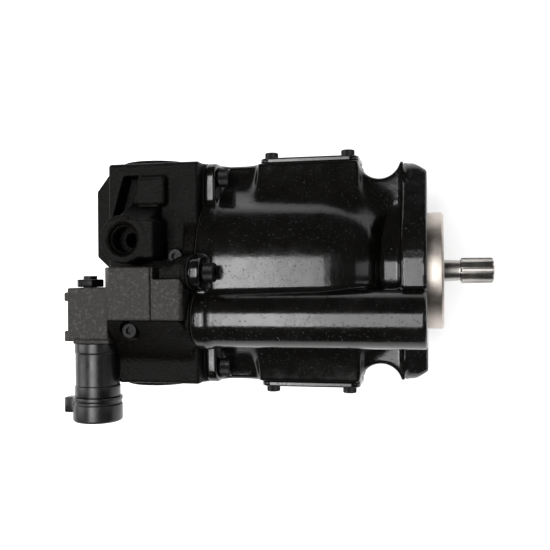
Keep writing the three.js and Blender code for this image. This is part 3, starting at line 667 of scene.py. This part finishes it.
def barrel_profile():
    """The barrel's outline from the joint, over its dome, to the flange neck."""
    dome = []
    for i in range(DOME_STEPS + 1):
        turn = math.radians(DOME_TURN) * i / DOME_STEPS
        radius = BARREL_FRONT - DOME_DROP * (1 - math.cos(turn))
        dome.append((DOME_X + DOME_LENGTH * math.sin(turn), radius))
    neck = [(-36, NECK_RADIUS), (-2, NECK_RADIUS), (-2, -80)]
    return [(CASE_REAR, -80), (CASE_REAR, BARREL_REAR)] + dome + neck


def housing_field():
    flange_outline = hull_outline(
        [(0, 0, FLANGE_RADIUS), (EAR_PLACE, 0, EAR_RADIUS), (-EAR_PLACE, 0, EAR_RADIUS)], 48)
    flange = common(
        2.0, prism_field(0, flange_outline, -FLANGE_THICKNESS, 0, 1.6),
        turned_field(0, [(-40, -60), (-40, EAR_Y), (EAR_FRONT[0], EAR_Y), (0, EAR_FRONT[1]), (0, -60)]))
    side = [(60, 23), (93, 19.2), (95.6, 16.4), (95.6, -16.4), (93, -19.2), (60, -23)]
    wing_outline = side + [(-y, -z) for y, z in side]
    wings = prism_field(0, wing_outline, CASE_REAR, -20.4, 2.0)
    bosses = []
    face = TOP_PLATE_HIGH[1] - PLATE_THICKNESS - 0.3
    for side in (1, -1):
        low, high = sorted((side * 50, side * face))
        drafted = [(side * 40, 36), (side * (face + 1), 25.6), (side * (face + 1), -25.6), (side * 40, -36)]
        draft = prism_field(0, drafted, PAD_X - 90, PAD_X + 90, 1.0)
        bosses.append(common(2.0, pad_field(1, (PAD_X, 0), (43.2, 34), 9, low, high, 1.2), draft))
    rib = rod_field(0, RIB_RADIUS, CASE_REAR, -0.5, RIB_AXIS, 2.5)
    lug = joint_flange(CASE_REAR, CASE_REAR + 10)
    plug_boss = rod_field(2, 19, -80, -50, (-140, 0, 0), 2)
    shell = joined(7, turned_field(0, barrel_profile()), rib)
    shell = joined(5, joined(22, shell, wings), flange)
    shell = joined(14, shell, *bosses)
    shell = joined(7, shell, lug, plug_boss)
    shell = common(1.2, shell, box_field((CASE_REAR, HOUSING_LOW[1], HOUSING_LOW[2]),
                                         (0, HOUSING_HIGH[1], HOUSING_HIGH[2]), 0.6))
    tools = []
    for side in (1, -1):
        low, high = sorted((side * BOLT_Y, side * 130))
        pocket = joined(0, rod_field(0, BOLT_ROOM, -60, -FLANGE_THICKNESS, (0, side * BOLT_Y, 0), 2),
                        box_field((-60, low, -BOLT_ROOM), (-FLANGE_THICKNESS, high, BOLT_ROOM), 2))
        scallop_place = (SCALLOP_PLACE[0], side * SCALLOP_PLACE[1], 0)
        tools += [pocket, rod_field(2, SCALLOP_RADIUS, -90, 90, scallop_place, 0),
                  rod_field(0, BOLT_RADIUS, -80, 20, (0, side * BOLT_Y, 0), 0)]
    outer = carved(3.0, shell, *tools)
    cavity = turned_field(0, [(-210, -80), (-210, 56.5), (-90, 56.5), (-62, 46), (-48, 36.3), (-18, 36.3),
                              (-18, 30), (-9, 24.3), (30, 24.3), (30, -80)])
    rib_bore = rod_field(0, 13.3, -210, -30, RIB_AXIS, 1)
    trunnion_bore = rod_field(1, 20.3, -130, 130, (TRUNNION_X, 0, 0), 0)
    lever_room = box_field((-128, -46.3, 25.3), (-70.4, -31.7, 56), 1)
    return carved(0, outer, cavity, rib_bore, trunnion_bore, lever_room,
                  rod_field(2, 10.3, -120, -40, (-140, 0, 0), 0),
                  *[rod_field(0, 9.2, CASE_REAR + 10, -163, (0, y, z), 1) for y, z, _ in LUGS])


def build_housing():
    high = (1, *HOUSING_HIGH[1:])
    step = GRID_STEPS["housing"]
    casting = cast_piece("housing_casting", housing_field(), HOUSING_LOW, high, step, ENAMEL)
    own(casting, "housing", ["main_housing"])
    pilot_profile = ease([(-4, 24.3), (-4, 50.6), (PILOT_END - 1.8, PILOT_RADIUS), (PILOT_END, 49.2),
                          (PILOT_END, 25.8), (PILOT_END - 1.5, 24.3)], 0.35, True)
    pilot = turned_piece("mounting_pilot", 0, pilot_profile, PILOT_METAL, segments=160, closed=True)
    own(pilot, "housing", ["main_housing"])


# ---------------- end cover with its ports
def end_cover_field():
    joint_x = COVER_HIGH[0]
    left, face = COVER_LOW[0], 95.0
    plate = joint_flange(joint_x - 11, joint_x)
    block_outline = [(joint_x, -face), (joint_x, face), (left + 17, face), (left, face - 22), (left, 15),
                     (left + 12, 4), (left + 15, -62), (left + 17, 4 - face), (left + 21, -face)]
    block = prism_field(2, block_outline, -58, 62, 3.0)
    block = carved(2.0, block, box_field((left - 9, -140, 36), (BLOCK_LOW[0], -8, 220), 1),
                   box_field((left - 9, -10, 46), (-272, 140, 220), 1))
    flank_outline = [(-98, 20), (-96, 38), (-90, 47), (-39.5, 94.6), (-39.5, 50), (-60, 20)]
    flank = prism_field(0, flank_outline, BLOCK_LOW[0] + 2, CAP_HIGH[0] - 1, 2.0)
    seat = box_field((BLOCK_LOW[0] - 2, BLOCK_LOW[1] - 0.3, 62),
                     (CAP_HIGH[0] + 0.4, BLOCK_HIGH[1] + 0.3, 150), 0.3)
    solid = carved(0.8, joined(3, plate, block, flank), seat)
    drain_x, drain_y = DRAIN_PLACE
    solid = joined(
        3, solid,
        rod_field(1, INLET_BOSS, 80, COVER_HIGH[1], (PORT_X, 0, 0), 1.5),
        rod_field(1, OUTLET_BOSS, COVER_LOW[1], -80, (PORT_X, 0, 0), 1.5),
        rod_field(2, DRAIN_BOSS, 40, 95, (drain_x, drain_y, 0), 1.2),
        box_field((drain_x, 12, 40), (-219, 44, 95), 2),
        box_field((-243, 58, 50), (-218, 82, 70), 3),
        prism_field(0, [(41, 40), (60, 40), (60, 61), (43, 94)], -254, -224, 1.5),
        rod_field(0, 11, -215, joint_x, (0, 0, 84), 2))
    solid = common(1.0, solid, box_field(COVER_LOW, COVER_HIGH, 0.5))
    pocket = prism_field(2, [(-270, 42), (-255, 42), (-244, 84), (-258, 84)], 44, 82, 2)
    drain_profile = [(72, -60), (72, DRAIN_BORE), (92.6, DRAIN_BORE), (95.5, 14.7), (110, 14.7), (110, -60)]
    drain = turned_field(2, drain_profile, (drain_x, drain_y, 0))
    return carved(
        0.8, solid, pocket, drain,
        rod_field(1, INLET_BORE, 30, 140, (PORT_X, 0, 0), 0),
        rod_field(1, OUTLET_BORE, -140, -30, (PORT_X, 0, 0), 0),
        rod_field(2, 6, 42, 80, (drain_x, drain_y, 0), 0),
        rod_field(0, 20.3, -216, -170, (0, 0, 0), 0),
        rod_field(2, 8, 78, 140, CONTROL_SCREWS[0], 0.5),
        *[rod_field(2, CONTROL_SCREW_BORE, 36, 140, screw, 0) for screw in CONTROL_SCREWS])


def build_end_cover():
    casting = cast_piece("end_cover_casting", end_cover_field(), COVER_LOW, COVER_HIGH,
                         GRID_STEPS["end_cover"], COVER_CASTING)
    own(casting, "housing", ["end_cover"])


def build_trunnion_covers():
    for side, name in ((1, "trunnion_cover_top"), (-1, "trunnion_cover_bottom")):
        low, high = node_box(name)
        outer = high[1] if side > 0 else -low[1]
        inner = low[1] if side > 0 else -high[1]
        spans = [sorted((side * a, side * b)) for a, b in (
            (outer - PLATE_THICKNESS, outer), (inner, outer - 0.4), (outer - 1.4, outer + 3))]
        plate = pad_field(1, (PAD_X, 0), (PLATE_HALF_X, TOP_PLATE_HIGH[2]), PLATE_CORNER, *spans[0], 0.9)
        spigot = rod_field(1, 20, *spans[1], (TRUNNION_X, 0, 0), 0.5)
        recess = rod_field(1, 15, *spans[2], (TRUNNION_X, 0, 0), 0.5)
        body = carved(0.5, joined(0, plate, spigot), recess)
        piece = cast_piece(name + "_plate", body, low, high, GRID_STEPS["plate"], ENAMEL)
        own(piece, "housing", [name])


# ---------------- controls
def build_controls():
    blocks = [("compensator_block", BLOCK_LOW, BLOCK_HIGH, 1), ("compensator_cap", CAP_LOW, CAP_HIGH, -1)]
    step = GRID_STEPS["control"]
    for name, low, high, side in blocks:
        outer_x, reach = (low[0], 8) if side > 0 else (high[0], 4.5)
        wedge = [(outer_x - side * 2, high[2] - reach), (outer_x - side * 2, high[2] + 3),
                 (outer_x + side * (reach + 1), high[2] + 3)]
        bore = (6.5, low[0] + 6, high[0] + 9) if side > 0 else (8, low[0] - 9, high[0] - 5)
        tools = [prism_field(1, wedge, low[1] - 9, high[1] + 9, 0.1), rod_field(0, *bore, SPOOL_PLACE, 0)]
        if side < 0:
            tools.append(rod_field(0, 11.4, -220, -150, (0, 0, 84), 0))
        body = carved(0.8, box_field(low, high, 1.3), *tools)
        casting = cast_piece(name + "_casting", body, low, high, step, CASTING_PAINTED_HIGHLIGHT)
        own(casting, "housing", [name])
    left, right = VALVE_LOW[0], VALVE_HIGH[0]
    low_y, high_y = VALVE_LOW[1], VALVE_HIGH[1]
    low_z, high_z = VALVE_LOW[2], VALVE_HIGH[2]
    body = joined(
        1.2, box_field((left + 5, low_y + 4, low_z), (right, high_y, high_z), 1.6),
        box_field((left, high_y - 11.5, low_z + 4), (right, high_y - 4, high_z - 4), 1.4),
        box_field((left, low_y + 2, low_z + 4), (right, low_y + 11, high_z - 4), 1.4),
        box_field((left + 9, low_y, low_z + 2), (right, low_y + 5, high_z - 2), 1.2))
    body = common(0.6, body, box_field(VALVE_LOW, VALVE_HIGH, 0.4))
    body = carved(0.4, body, rod_field(1, 5.2, -75, -30, COIL_PLACE, 0),
                  rod_field(1, 6.6, -31, 20, (VALVE_AXIS[0], 0, COIL_PLACE[2]), 0))
    valve = cast_piece("pilot_valve_casting", body, VALVE_LOW, VALVE_HIGH, step, CASTING_PAINTED_HIGHLIGHT)
    own(valve, "housing", ["pilot_valve_body"])


def build_adjusting_screw():
    bm = bmesh.new()
    x, z = VALVE_AXIS[0], VALVE_AXIS[2]
    hexagon = [(x + 12.6 * math.cos(t), z + 12.6 * math.sin(t)) for t in np.radians(range(0, 360, 60))]
    prism_into(bm, 1, hexagon, VALVE_HIGH[1] + 0.3, VALVE_HIGH[1] + 7, 0.7)
    top = ADJUST_HIGH[1]
    profile = ease([(ADJUST_LOW[1], 0), (ADJUST_LOW[1], 6), (VALVE_HIGH[1] + 1, 6), (VALVE_HIGH[1] + 5, 6),
                    (top, 6), (top, 3.2), (top - 2.4, 3.2), (top - 2.4, 0)], 0.5)
    turn_into(bm, 1, profile, (x, 0, z), 48, False)
    screw = plain_piece("adjusting_screw_hexagon", bm, OXIDE)
    own(screw, "adjusting_screw", ["adjusting_screw"])


def build_solenoid():
    x, z = COIL_PLACE[0], COIL_PLACE[2]
    low, high = COIL_LOW[1], COIL_HIGH[1]
    full, waist = COIL_RADIUS, COIL_RADIUS - 0.6
    ring = [(low, 6.5), (low, full), (low + 9, full), (low + 10, waist), (high - 9, waist), (high - 8, full),
            (high, full), (high, 6.5)]
    own(turned_piece("solenoid_coil_can", 1, ease(ring, 0.6, True), PLASTIC, COIL_PLACE, closed=True),
        "housing", ["solenoid_coil"])
    top, end = SHELL_HIGH[1], SHELL_LOW[1]
    bm = bmesh.new()
    shell = [(top, 0), (top, SHELL_RADIUS), (top - 3, SHELL_RADIUS), (top - 3.6, 20.6), (top - 6, 20.6),
             (top - 6.6, SHELL_RADIUS), (end + 1.5, SHELL_RADIUS), (end, 20), (end, 17.2), (top - 6, 17.2),
             (top - 6, 0)]
    turn_into(bm, 1, ease(shell, 0.5), COIL_PLACE, 96, False)
    pin = ease([(top - 7, 0), (top - 7, 1.3), (top - 19, 1.3), (top - 20, 0.5), (top - 20, 0)], 0.2)
    for shift in (-4.2, 4.2):
        turn_into(bm, 1, pin, (x + shift, 0, z), 20, False)
    prism_into(bm, 1, rectangle(SHELL_LOW[0], x - 18, z - 6, z + 6), top - 14.5, top - 1, 1.2)
    moulding = plain_piece("connector_shell_moulding", bm, PLASTIC)
    own(moulding, "housing", ["connector_shell"])


# ---------------- shaft line
def build_shaft():
    profile = [(-215, 0), (-215, 12), (-196, 12), (-194, 15), (-46, 15), (-45, 20), (-43.3, 20),
               (-43.3, 17.5), (8, 17.5), (12, 9.6), (26.5, 8.8), (29, SPLINE_ROOT),
               (SHAFT_END - 1.6, SPLINE_ROOT), (SHAFT_END, 7.6),
               (SHAFT_END, 2.6), (SHAFT_END - 3, 1.4), (SHAFT_END - 6, 0)]
    core = turned_piece("drive_shaft_core", 0, ease(profile, 0.5), SHAFT_METAL, segments=96)
    own(core, "rotor", ["drive_shaft"])
    seal = [(0.6, 21.4), (0.6, 24), (9.4, 24), (9.4, 20.6), (8.2, 19.4), (7.6, 18.1), (6.2, 18.05),
            (4.2, 19.8), (3.6, 21.4)]
    own(turned_piece("shaft_seal_lip", 0, ease(seal, 0.4, True), RUBBER, closed=True),
        "housing", ["shaft_seal"])


# ---------------- repeated details
def new_tree(name, numbers):
    """A geometry tree: geometry in and out, the numbers as its named inputs, a seed and a material."""
    tree = bpy.data.node_groups.new(name, "GeometryNodeTree")
    face = tree.interface
    face.new_socket("Geometry", in_out="INPUT", socket_type="NodeSocketGeometry")
    for label, value in {**numbers, "Seed": 7}.items():
        kind = "NodeSocketInt" if isinstance(value, int) else "NodeSocketFloat"
        face.new_socket(label, in_out="INPUT", socket_type=kind).default_value = value
    face.new_socket("Turn", in_out="INPUT", socket_type="NodeSocketVector")
    face.new_socket("Material", in_out="INPUT", socket_type="NodeSocketMaterial")
    face.new_socket("Geometry", in_out="OUTPUT", socket_type="NodeSocketGeometry")
    return tree, add(tree, "NodeGroupInput").outputs


def close_tree(tree, given, instances):
    real = add(tree, "GeometryNodeRealizeInstances", None, {"Geometry": instances}).outputs["Geometry"]
    dressed = add(tree, "GeometryNodeSetMaterial", None, {"Geometry": real, "Material": given["Material"]})
    add(tree, "NodeGroupOutput", None, {"Geometry": dressed.outputs["Geometry"]})
    return tree


def maths(tree, operation, first, second=0.0):
    node = add(tree, "ShaderNodeMath", {"operation": operation})
    for socket, value in zip(node.inputs, (first, second)):
        feed(tree, socket, value)
    return node.outputs[0]


def times(tree, first, second):
    return maths(tree, "MULTIPLY", first, second)


def vector(tree, x=0.0, y=0.0, z=0.0):
    return add(tree, "ShaderNodeCombineXYZ", None, {"X": x, "Y": y, "Z": z}).outputs[0]


def boolean(tree, operation, first, second):
    node = add(tree, "GeometryNodeMeshBoolean", {"operation": operation, "solver": "EXACT"})
    if operation == "DIFFERENCE":
        tree.links.new(first, node.inputs[0])
    else:
        tree.links.new(first, node.inputs[1])
    tree.links.new(second, node.inputs[1])
    return node.outputs["Mesh"]


def moved(tree, geometry, offset):
    sockets = {"Geometry": geometry, "Translation": offset}
    return add(tree, "GeometryNodeTransform", None, sockets).outputs["Geometry"]


def cylinder(tree, sides, radius, depth):
    sockets = {"Vertices": sides, "Radius": radius, "Depth": depth}
    return add(tree, "GeometryNodeMeshCylinder", {"fill_type": "NGON"}, sockets).outputs["Mesh"]


def cap_screw_tree():
    """A knurled socket-head cap screw on every point, its head along the turned Z axis."""
    tree, given = new_tree("cap_screws", {
        "Head Radius": 6.5 * MM, "Head Height": 6 * MM, "Shank Radius": 4 * MM, "Length": 17 * MM,
        "Knurls": 40})
    half = times(tree, given["Head Height"], 0.5)
    sides = times(tree, given["Knurls"], 2.0)
    head = cylinder(tree, sides, given["Head Radius"], given["Head Height"])
    odd = maths(tree, "MODULO", add(tree, "GeometryNodeInputIndex").outputs[0], 2.0)
    shrink = maths(tree, "SUBTRACT", 1.0, times(tree, odd, 0.035))
    place = add(tree, "GeometryNodeInputPosition").outputs[0]
    narrow = add(tree, "ShaderNodeVectorMath", {"operation": "MULTIPLY"}, None)
    tree.links.new(place, narrow.inputs[0])
    tree.links.new(vector(tree, shrink, shrink, 1.0), narrow.inputs[1])
    knurled = add(tree, "GeometryNodeSetPosition", None, {"Geometry": head, "Position": narrow.outputs[0]})
    cone = add(tree, "GeometryNodeMeshCone", {"fill_type": "NGON"}, {
        "Vertices": 64, "Radius Top": times(tree, given["Head Radius"], 0.9),
        "Radius Bottom": times(tree, given["Head Radius"], 2.0),
        "Depth": times(tree, given["Head Radius"], 1.1)}).outputs["Mesh"]
    lowered = maths(tree, "SUBTRACT", half, times(tree, given["Head Radius"], 1.1))
    eased_head = boolean(tree, "INTERSECT", knurled.outputs["Geometry"],
                         moved(tree, cone, vector(tree, z=lowered)))
    socket = cylinder(tree, 6, times(tree, given["Head Radius"], 0.52), given["Head Height"])
    raised = times(tree, given["Head Height"], 0.55)
    drilled = boolean(tree, "DIFFERENCE", eased_head, moved(tree, socket, vector(tree, z=raised)))
    shank = cylinder(tree, 32, given["Shank Radius"], given["Length"])
    sunk = times(tree, given["Length"], -0.5)
    screw = add(tree, "GeometryNodeJoinGeometry")
    tree.links.new(moved(tree, drilled, vector(tree, z=half)), screw.inputs[0])
    tree.links.new(moved(tree, shank, vector(tree, z=sunk)), screw.inputs[0])
    spin = add(tree, "FunctionNodeRandomValue", {"data_type": "FLOAT"}, None)
    next(s for s in spin.inputs if s.identifier == "Max_001").default_value = math.pi / 3
    tree.links.new(given["Seed"], next(s for s in spin.inputs if s.identifier == "Seed"))
    dotted = add(tree, "GeometryNodeInstanceOnPoints", None, {
        "Points": given["Geometry"], "Instance": screw.outputs[0], "Rotation": given["Turn"]})
    turned = add(tree, "GeometryNodeRotateInstances", None, {
        "Instances": dotted.outputs[0],
        "Rotation": vector(tree, z=next(s for s in spin.outputs if s.identifier == "Value_001"))})
    return close_tree(tree, given, turned.outputs[0])


def tooth_tree():
    """Straight spline teeth round the X axis, each drawn in towards its ends."""
    tree, given = new_tree("spline_teeth", {
        "Teeth": 13, "Root": 8.9 * MM, "Tip": 10.9 * MM, "Foot Width": 3.4 * MM, "Start": 27 * MM,
        "End": 55 * MM, "Taper": 0.62})
    span_x = maths(tree, "SUBTRACT", given["End"], given["Start"])
    rise = maths(tree, "SUBTRACT", given["Tip"], given["Root"])
    cube = add(tree, "GeometryNodeMeshCube", None, {
        "Size": vector(tree, span_x, given["Foot Width"], rise), "Vertices X": 9, "Vertices Y": 5,
        "Vertices Z": 5}).outputs["Mesh"]
    place = add(tree, "GeometryNodeInputPosition").outputs[0]
    apart = add(tree, "ShaderNodeSeparateXYZ", None, {"Vector": place})
    up = maths(tree, "ADD", maths(tree, "DIVIDE", apart.outputs[2], rise), 0.5)
    pull = maths(tree, "SUBTRACT", 1.0, times(tree, maths(tree, "POWER", up, 1.5),
                                              maths(tree, "SUBTRACT", 1.0, given["Taper"])))
    shorter = maths(tree, "SUBTRACT", 1.0, times(tree, up, 0.09))
    shaped = add(tree, "GeometryNodeSetPosition", None, {
        "Geometry": cube, "Position": vector(
            tree, times(tree, apart.outputs[0], shorter),
            times(tree, apart.outputs[1], pull), apart.outputs[2])}).outputs["Geometry"]
    centre_x = times(tree, maths(tree, "ADD", given["Start"], given["End"]), 0.5)
    centre_z = times(tree, maths(tree, "ADD", given["Root"], given["Tip"]), 0.5)
    tooth = moved(tree, shaped, vector(tree, centre_x, 0.0, centre_z))
    dots = add(tree, "GeometryNodePoints", None, {"Count": given["Teeth"]}).outputs[0]
    angle = times(tree, add(tree, "GeometryNodeInputIndex").outputs[0],
                  maths(tree, "DIVIDE", 2 * math.pi, given["Teeth"]))
    ring = add(tree, "GeometryNodeInstanceOnPoints", None, {
        "Points": dots, "Instance": tooth, "Rotation": vector(tree, angle)})
    return close_tree(tree, given, ring.outputs[0])


def thread_tree():
    """An internal thread: a helix of diamond section round the Z axis."""
    tree, given = new_tree("port_thread", {
        "Radius": 11.6 * MM, "Pitch": 1.6 * MM, "Turns": 9, "Depth": 0.75 * MM})
    height = times(tree, given["Pitch"], given["Turns"])
    helix = add(tree, "GeometryNodeCurveSpiral", None, {
        "Resolution": 64, "Rotations": given["Turns"], "Start Radius": given["Radius"],
        "End Radius": given["Radius"], "Height": height}).outputs[0]
    ridge = add(tree, "GeometryNodeCurvePrimitiveCircle", None, {
        "Resolution": 4, "Radius": given["Depth"]}).outputs[0]
    swept = add(tree, "GeometryNodeCurveToMesh", None, {
        "Curve": helix, "Profile Curve": ridge, "Fill Caps": True}).outputs[0]
    placed = add(tree, "GeometryNodeInstanceOnPoints", None, {
        "Points": given["Geometry"], "Instance": swept})
    return close_tree(tree, given, placed.outputs[0])


def grown_piece(name, tree, points, material, sharp=30, turn=None, **numbers):
    """Runs a geometry tree on some points and keeps its result as a plain mesh."""
    seeds = bpy.data.meshes.new(name + "_points")
    seeds.from_pydata([Vector(p) * MM for p in points], [], [])
    holder = link_object(name + "_points", seeds)
    modifier = holder.modifiers.new("grow", "NODES")
    modifier.node_group = tree
    values = {k.replace("_", " "): v for k, v in numbers.items()}
    values["Material"] = material
    if turn:
        values["Turn"] = turn
    for item in tree.interface.items_tree:
        if item.item_type == "SOCKET" and item.in_out == "INPUT" and item.name in values:
            modifier[item.identifier] = values[item.name]
    graph = bpy.context.evaluated_depsgraph_get()
    mesh = bpy.data.meshes.new_from_object(holder.evaluated_get(graph))
    bpy.data.objects.remove(holder)
    mesh.name = name
    shade(mesh, sharp)
    return link_object(name, mesh)


def build_fasteners():
    tree = cap_screw_tree()
    quarter = math.pi / 2
    sets = [
        ("trunnion_screws_top", COVER_SCREWS[:4], (-quarter, 0, 0), 1, 1, 5.9, 5, 4),
        ("trunnion_screws_bottom", COVER_SCREWS[4:], (quarter, 0, 0), 1, -1, 5.9, 5, 4),
        ("case_joint_screws", CASE_SCREWS, (0, quarter, 0), 0, 1, 8, 10, 5),
        ("compensator_screws", ["compensator_screw_1", "compensator_screw_2"], (0, 0, 0), 2, 1, 6.5, 8, 4),
        ("drain_plug_head", ["drain_plug"], (math.pi, 0, 0), 2, -1, 14, 4, 10)]
    for name, nodes, turn, axis, side, head, height, shank in sets:
        points = []
        for node in nodes:
            low, high = node_box(node)
            point = (low + high) / 2
            point[axis] = high[axis] - height if side > 0 else low[axis] + height
            points.append(point)
        low, high = node_box(nodes[0])
        piece = grown_piece(name, tree, points, OXIDE, 30, turn, Head_Radius=(head - 0.05) * MM,
                            Head_Height=height * MM, Shank_Radius=shank * MM,
                            Length=(float(high[axis] - low[axis]) - height) * MM, Knurls=40)
        own(piece, "housing", nodes)


def build_repeats():
    teeth = grown_piece("spline_teeth", tooth_tree(), [(0, 0, 0)], SHAFT_METAL, 40, Start=27 * MM,
                        End=(SHAFT_END - 0.3) * MM)
    own(teeth, "rotor", ["drive_shaft"])
    thread = grown_piece("drain_port_thread", thread_tree(), [(*DRAIN_PLACE, 76)], COVER_CASTING, 30)
    own(thread, "housing", ["end_cover"])


# ---------------- pieces kept from the CAD model
def dress_kept():
    finishes = {
        "case_gasket": GASKET, "front_bearing_cup": BEARING_METAL, "front_bearing_cone": BEARING_METAL,
        "front_bearing_rollers": BEARING_METAL, "rear_bearing_ring": BEARING_METAL,
        "rear_bearing_rollers": BEARING_METAL, "retaining_ring": SPRING_METAL, "cylinder_block": BRONZE_METAL,
        "shoe_retainer_plate": GROUND_METAL, "ball_guide": GROUND_METAL, "block_spring": SPRING_METAL,
        "valve_plate": GROUND_METAL, "swashplate": GROUND_METAL, "wear_plate": BRONZE_METAL,
        "trunnion_bearing_top": BRONZE_METAL, "trunnion_bearing_bottom": BRONZE_METAL,
        "control_piston": GROUND_METAL, "bias_piston": GROUND_METAL, "bias_spring": SPRING_METAL,
        "compensator_spool": GROUND_METAL, "compensator_spring": SPRING_METAL, "pilot_spool": GROUND_METAL}
    finishes.update({f"piston_{i}": GROUND_METAL for i in range(1, 10)})
    for name, material in finishes.items():
        mesh = frame["nodes"][name].data
        mesh.materials.clear()
        mesh.materials.append(material)


# ---------------- camera, light and floor
CAMERA_SIDE = 11.8
CAMERA_ROLL = 0.5
CAMERA_LENS = 50.07
CAMERA_PLACE = Vector((5.5, -2.6, 684.7)) * MM
FLOOR_GAP = 0.2
FLOOR_SIZE = 4000
TABLE_GLOW = 0.7
WORLD_GLOW = 0.05


def build_camera():
    side, roll = math.radians(CAMERA_SIDE), math.radians(CAMERA_ROLL)
    back = Vector((math.sin(side), 0, math.cos(side)))
    right = Vector((math.cos(side), 0, -math.sin(side)))
    up = Vector((0, 1, 0))
    right, up = (right * math.cos(roll) - up * math.sin(roll), up * math.cos(roll) + right * math.sin(roll))
    data = bpy.data.cameras.new("camera")
    data.lens = CAMERA_LENS
    data.sensor_width = 36
    camera = link_object("camera", data)
    turned = Matrix((right, up, back)).transposed().to_4x4()
    camera.matrix_world = Matrix.Translation(CAMERA_PLACE) @ turned
    bpy.context.scene.camera = camera


def add_light(name, place, aim, size, power):
    data = bpy.data.lights.new(name, "AREA")
    data.shape = "RECTANGLE"
    data.size, data.size_y = size
    data.energy = power
    light = link_object(name, data)
    light.location = place
    light.rotation_euler = (Vector(aim) - Vector(place)).to_track_quat("-Z", "Y").to_euler()


def build_studio():
    bm = bmesh.new()
    floor_z = HOUSING_LOW[2] - FLOOR_GAP
    bmesh.ops.create_grid(bm, x_segments=2, y_segments=2, size=FLOOR_SIZE)
    bmesh.ops.translate(bm, vec=(0, 0, floor_z), verts=bm.verts)
    material, tree, shader, place = surface("white_table")
    paper = tint(tree, noise(tree, place, 60, 2), "#f2f2f2", "#f6f6f6")
    dress(tree, shader, Base_Color=paper, Roughness=0.6,
          Emission_Color=linear("#ffffff"), Emission_Strength=TABLE_GLOW)
    plain_piece("table", bm, material)
    add_light("main_softbox", (-0.485, -0.085, 1.5), (-0.485, -0.085, 0), (0.32, 1.27), 13.5)
    add_light("fill_softbox", (-0.10, -0.085, 1.5), (-0.10, -0.085, 0), (0.42, 1.27), 9.0)
    add_light("left_softbox", (-1.7, 0.0, 0.9), (-0.25, 0, 0), (0.7, 1.2), 10.0)
    add_light("right_softbox", (1.4, 0.1, 0.8), (-0.05, 0, 0), (0.5, 1.2), 2.2)
    world = bpy.data.worlds.new("surroundings")
    world.use_nodes = True
    sky = world.node_tree.nodes["Background"]
    sky.inputs["Color"].default_value = linear("#ffffff")
    sky.inputs["Strength"].default_value = WORLD_GLOW
    bpy.context.scene.world = world
    bpy.context.scene.view_settings.view_transform = "Standard"


build_camera()
build_studio()
build_housing()
build_end_cover()
build_trunnion_covers()
build_controls()
build_adjusting_screw()
build_solenoid()
build_shaft()
build_fasteners()
build_repeats()
dress_kept()
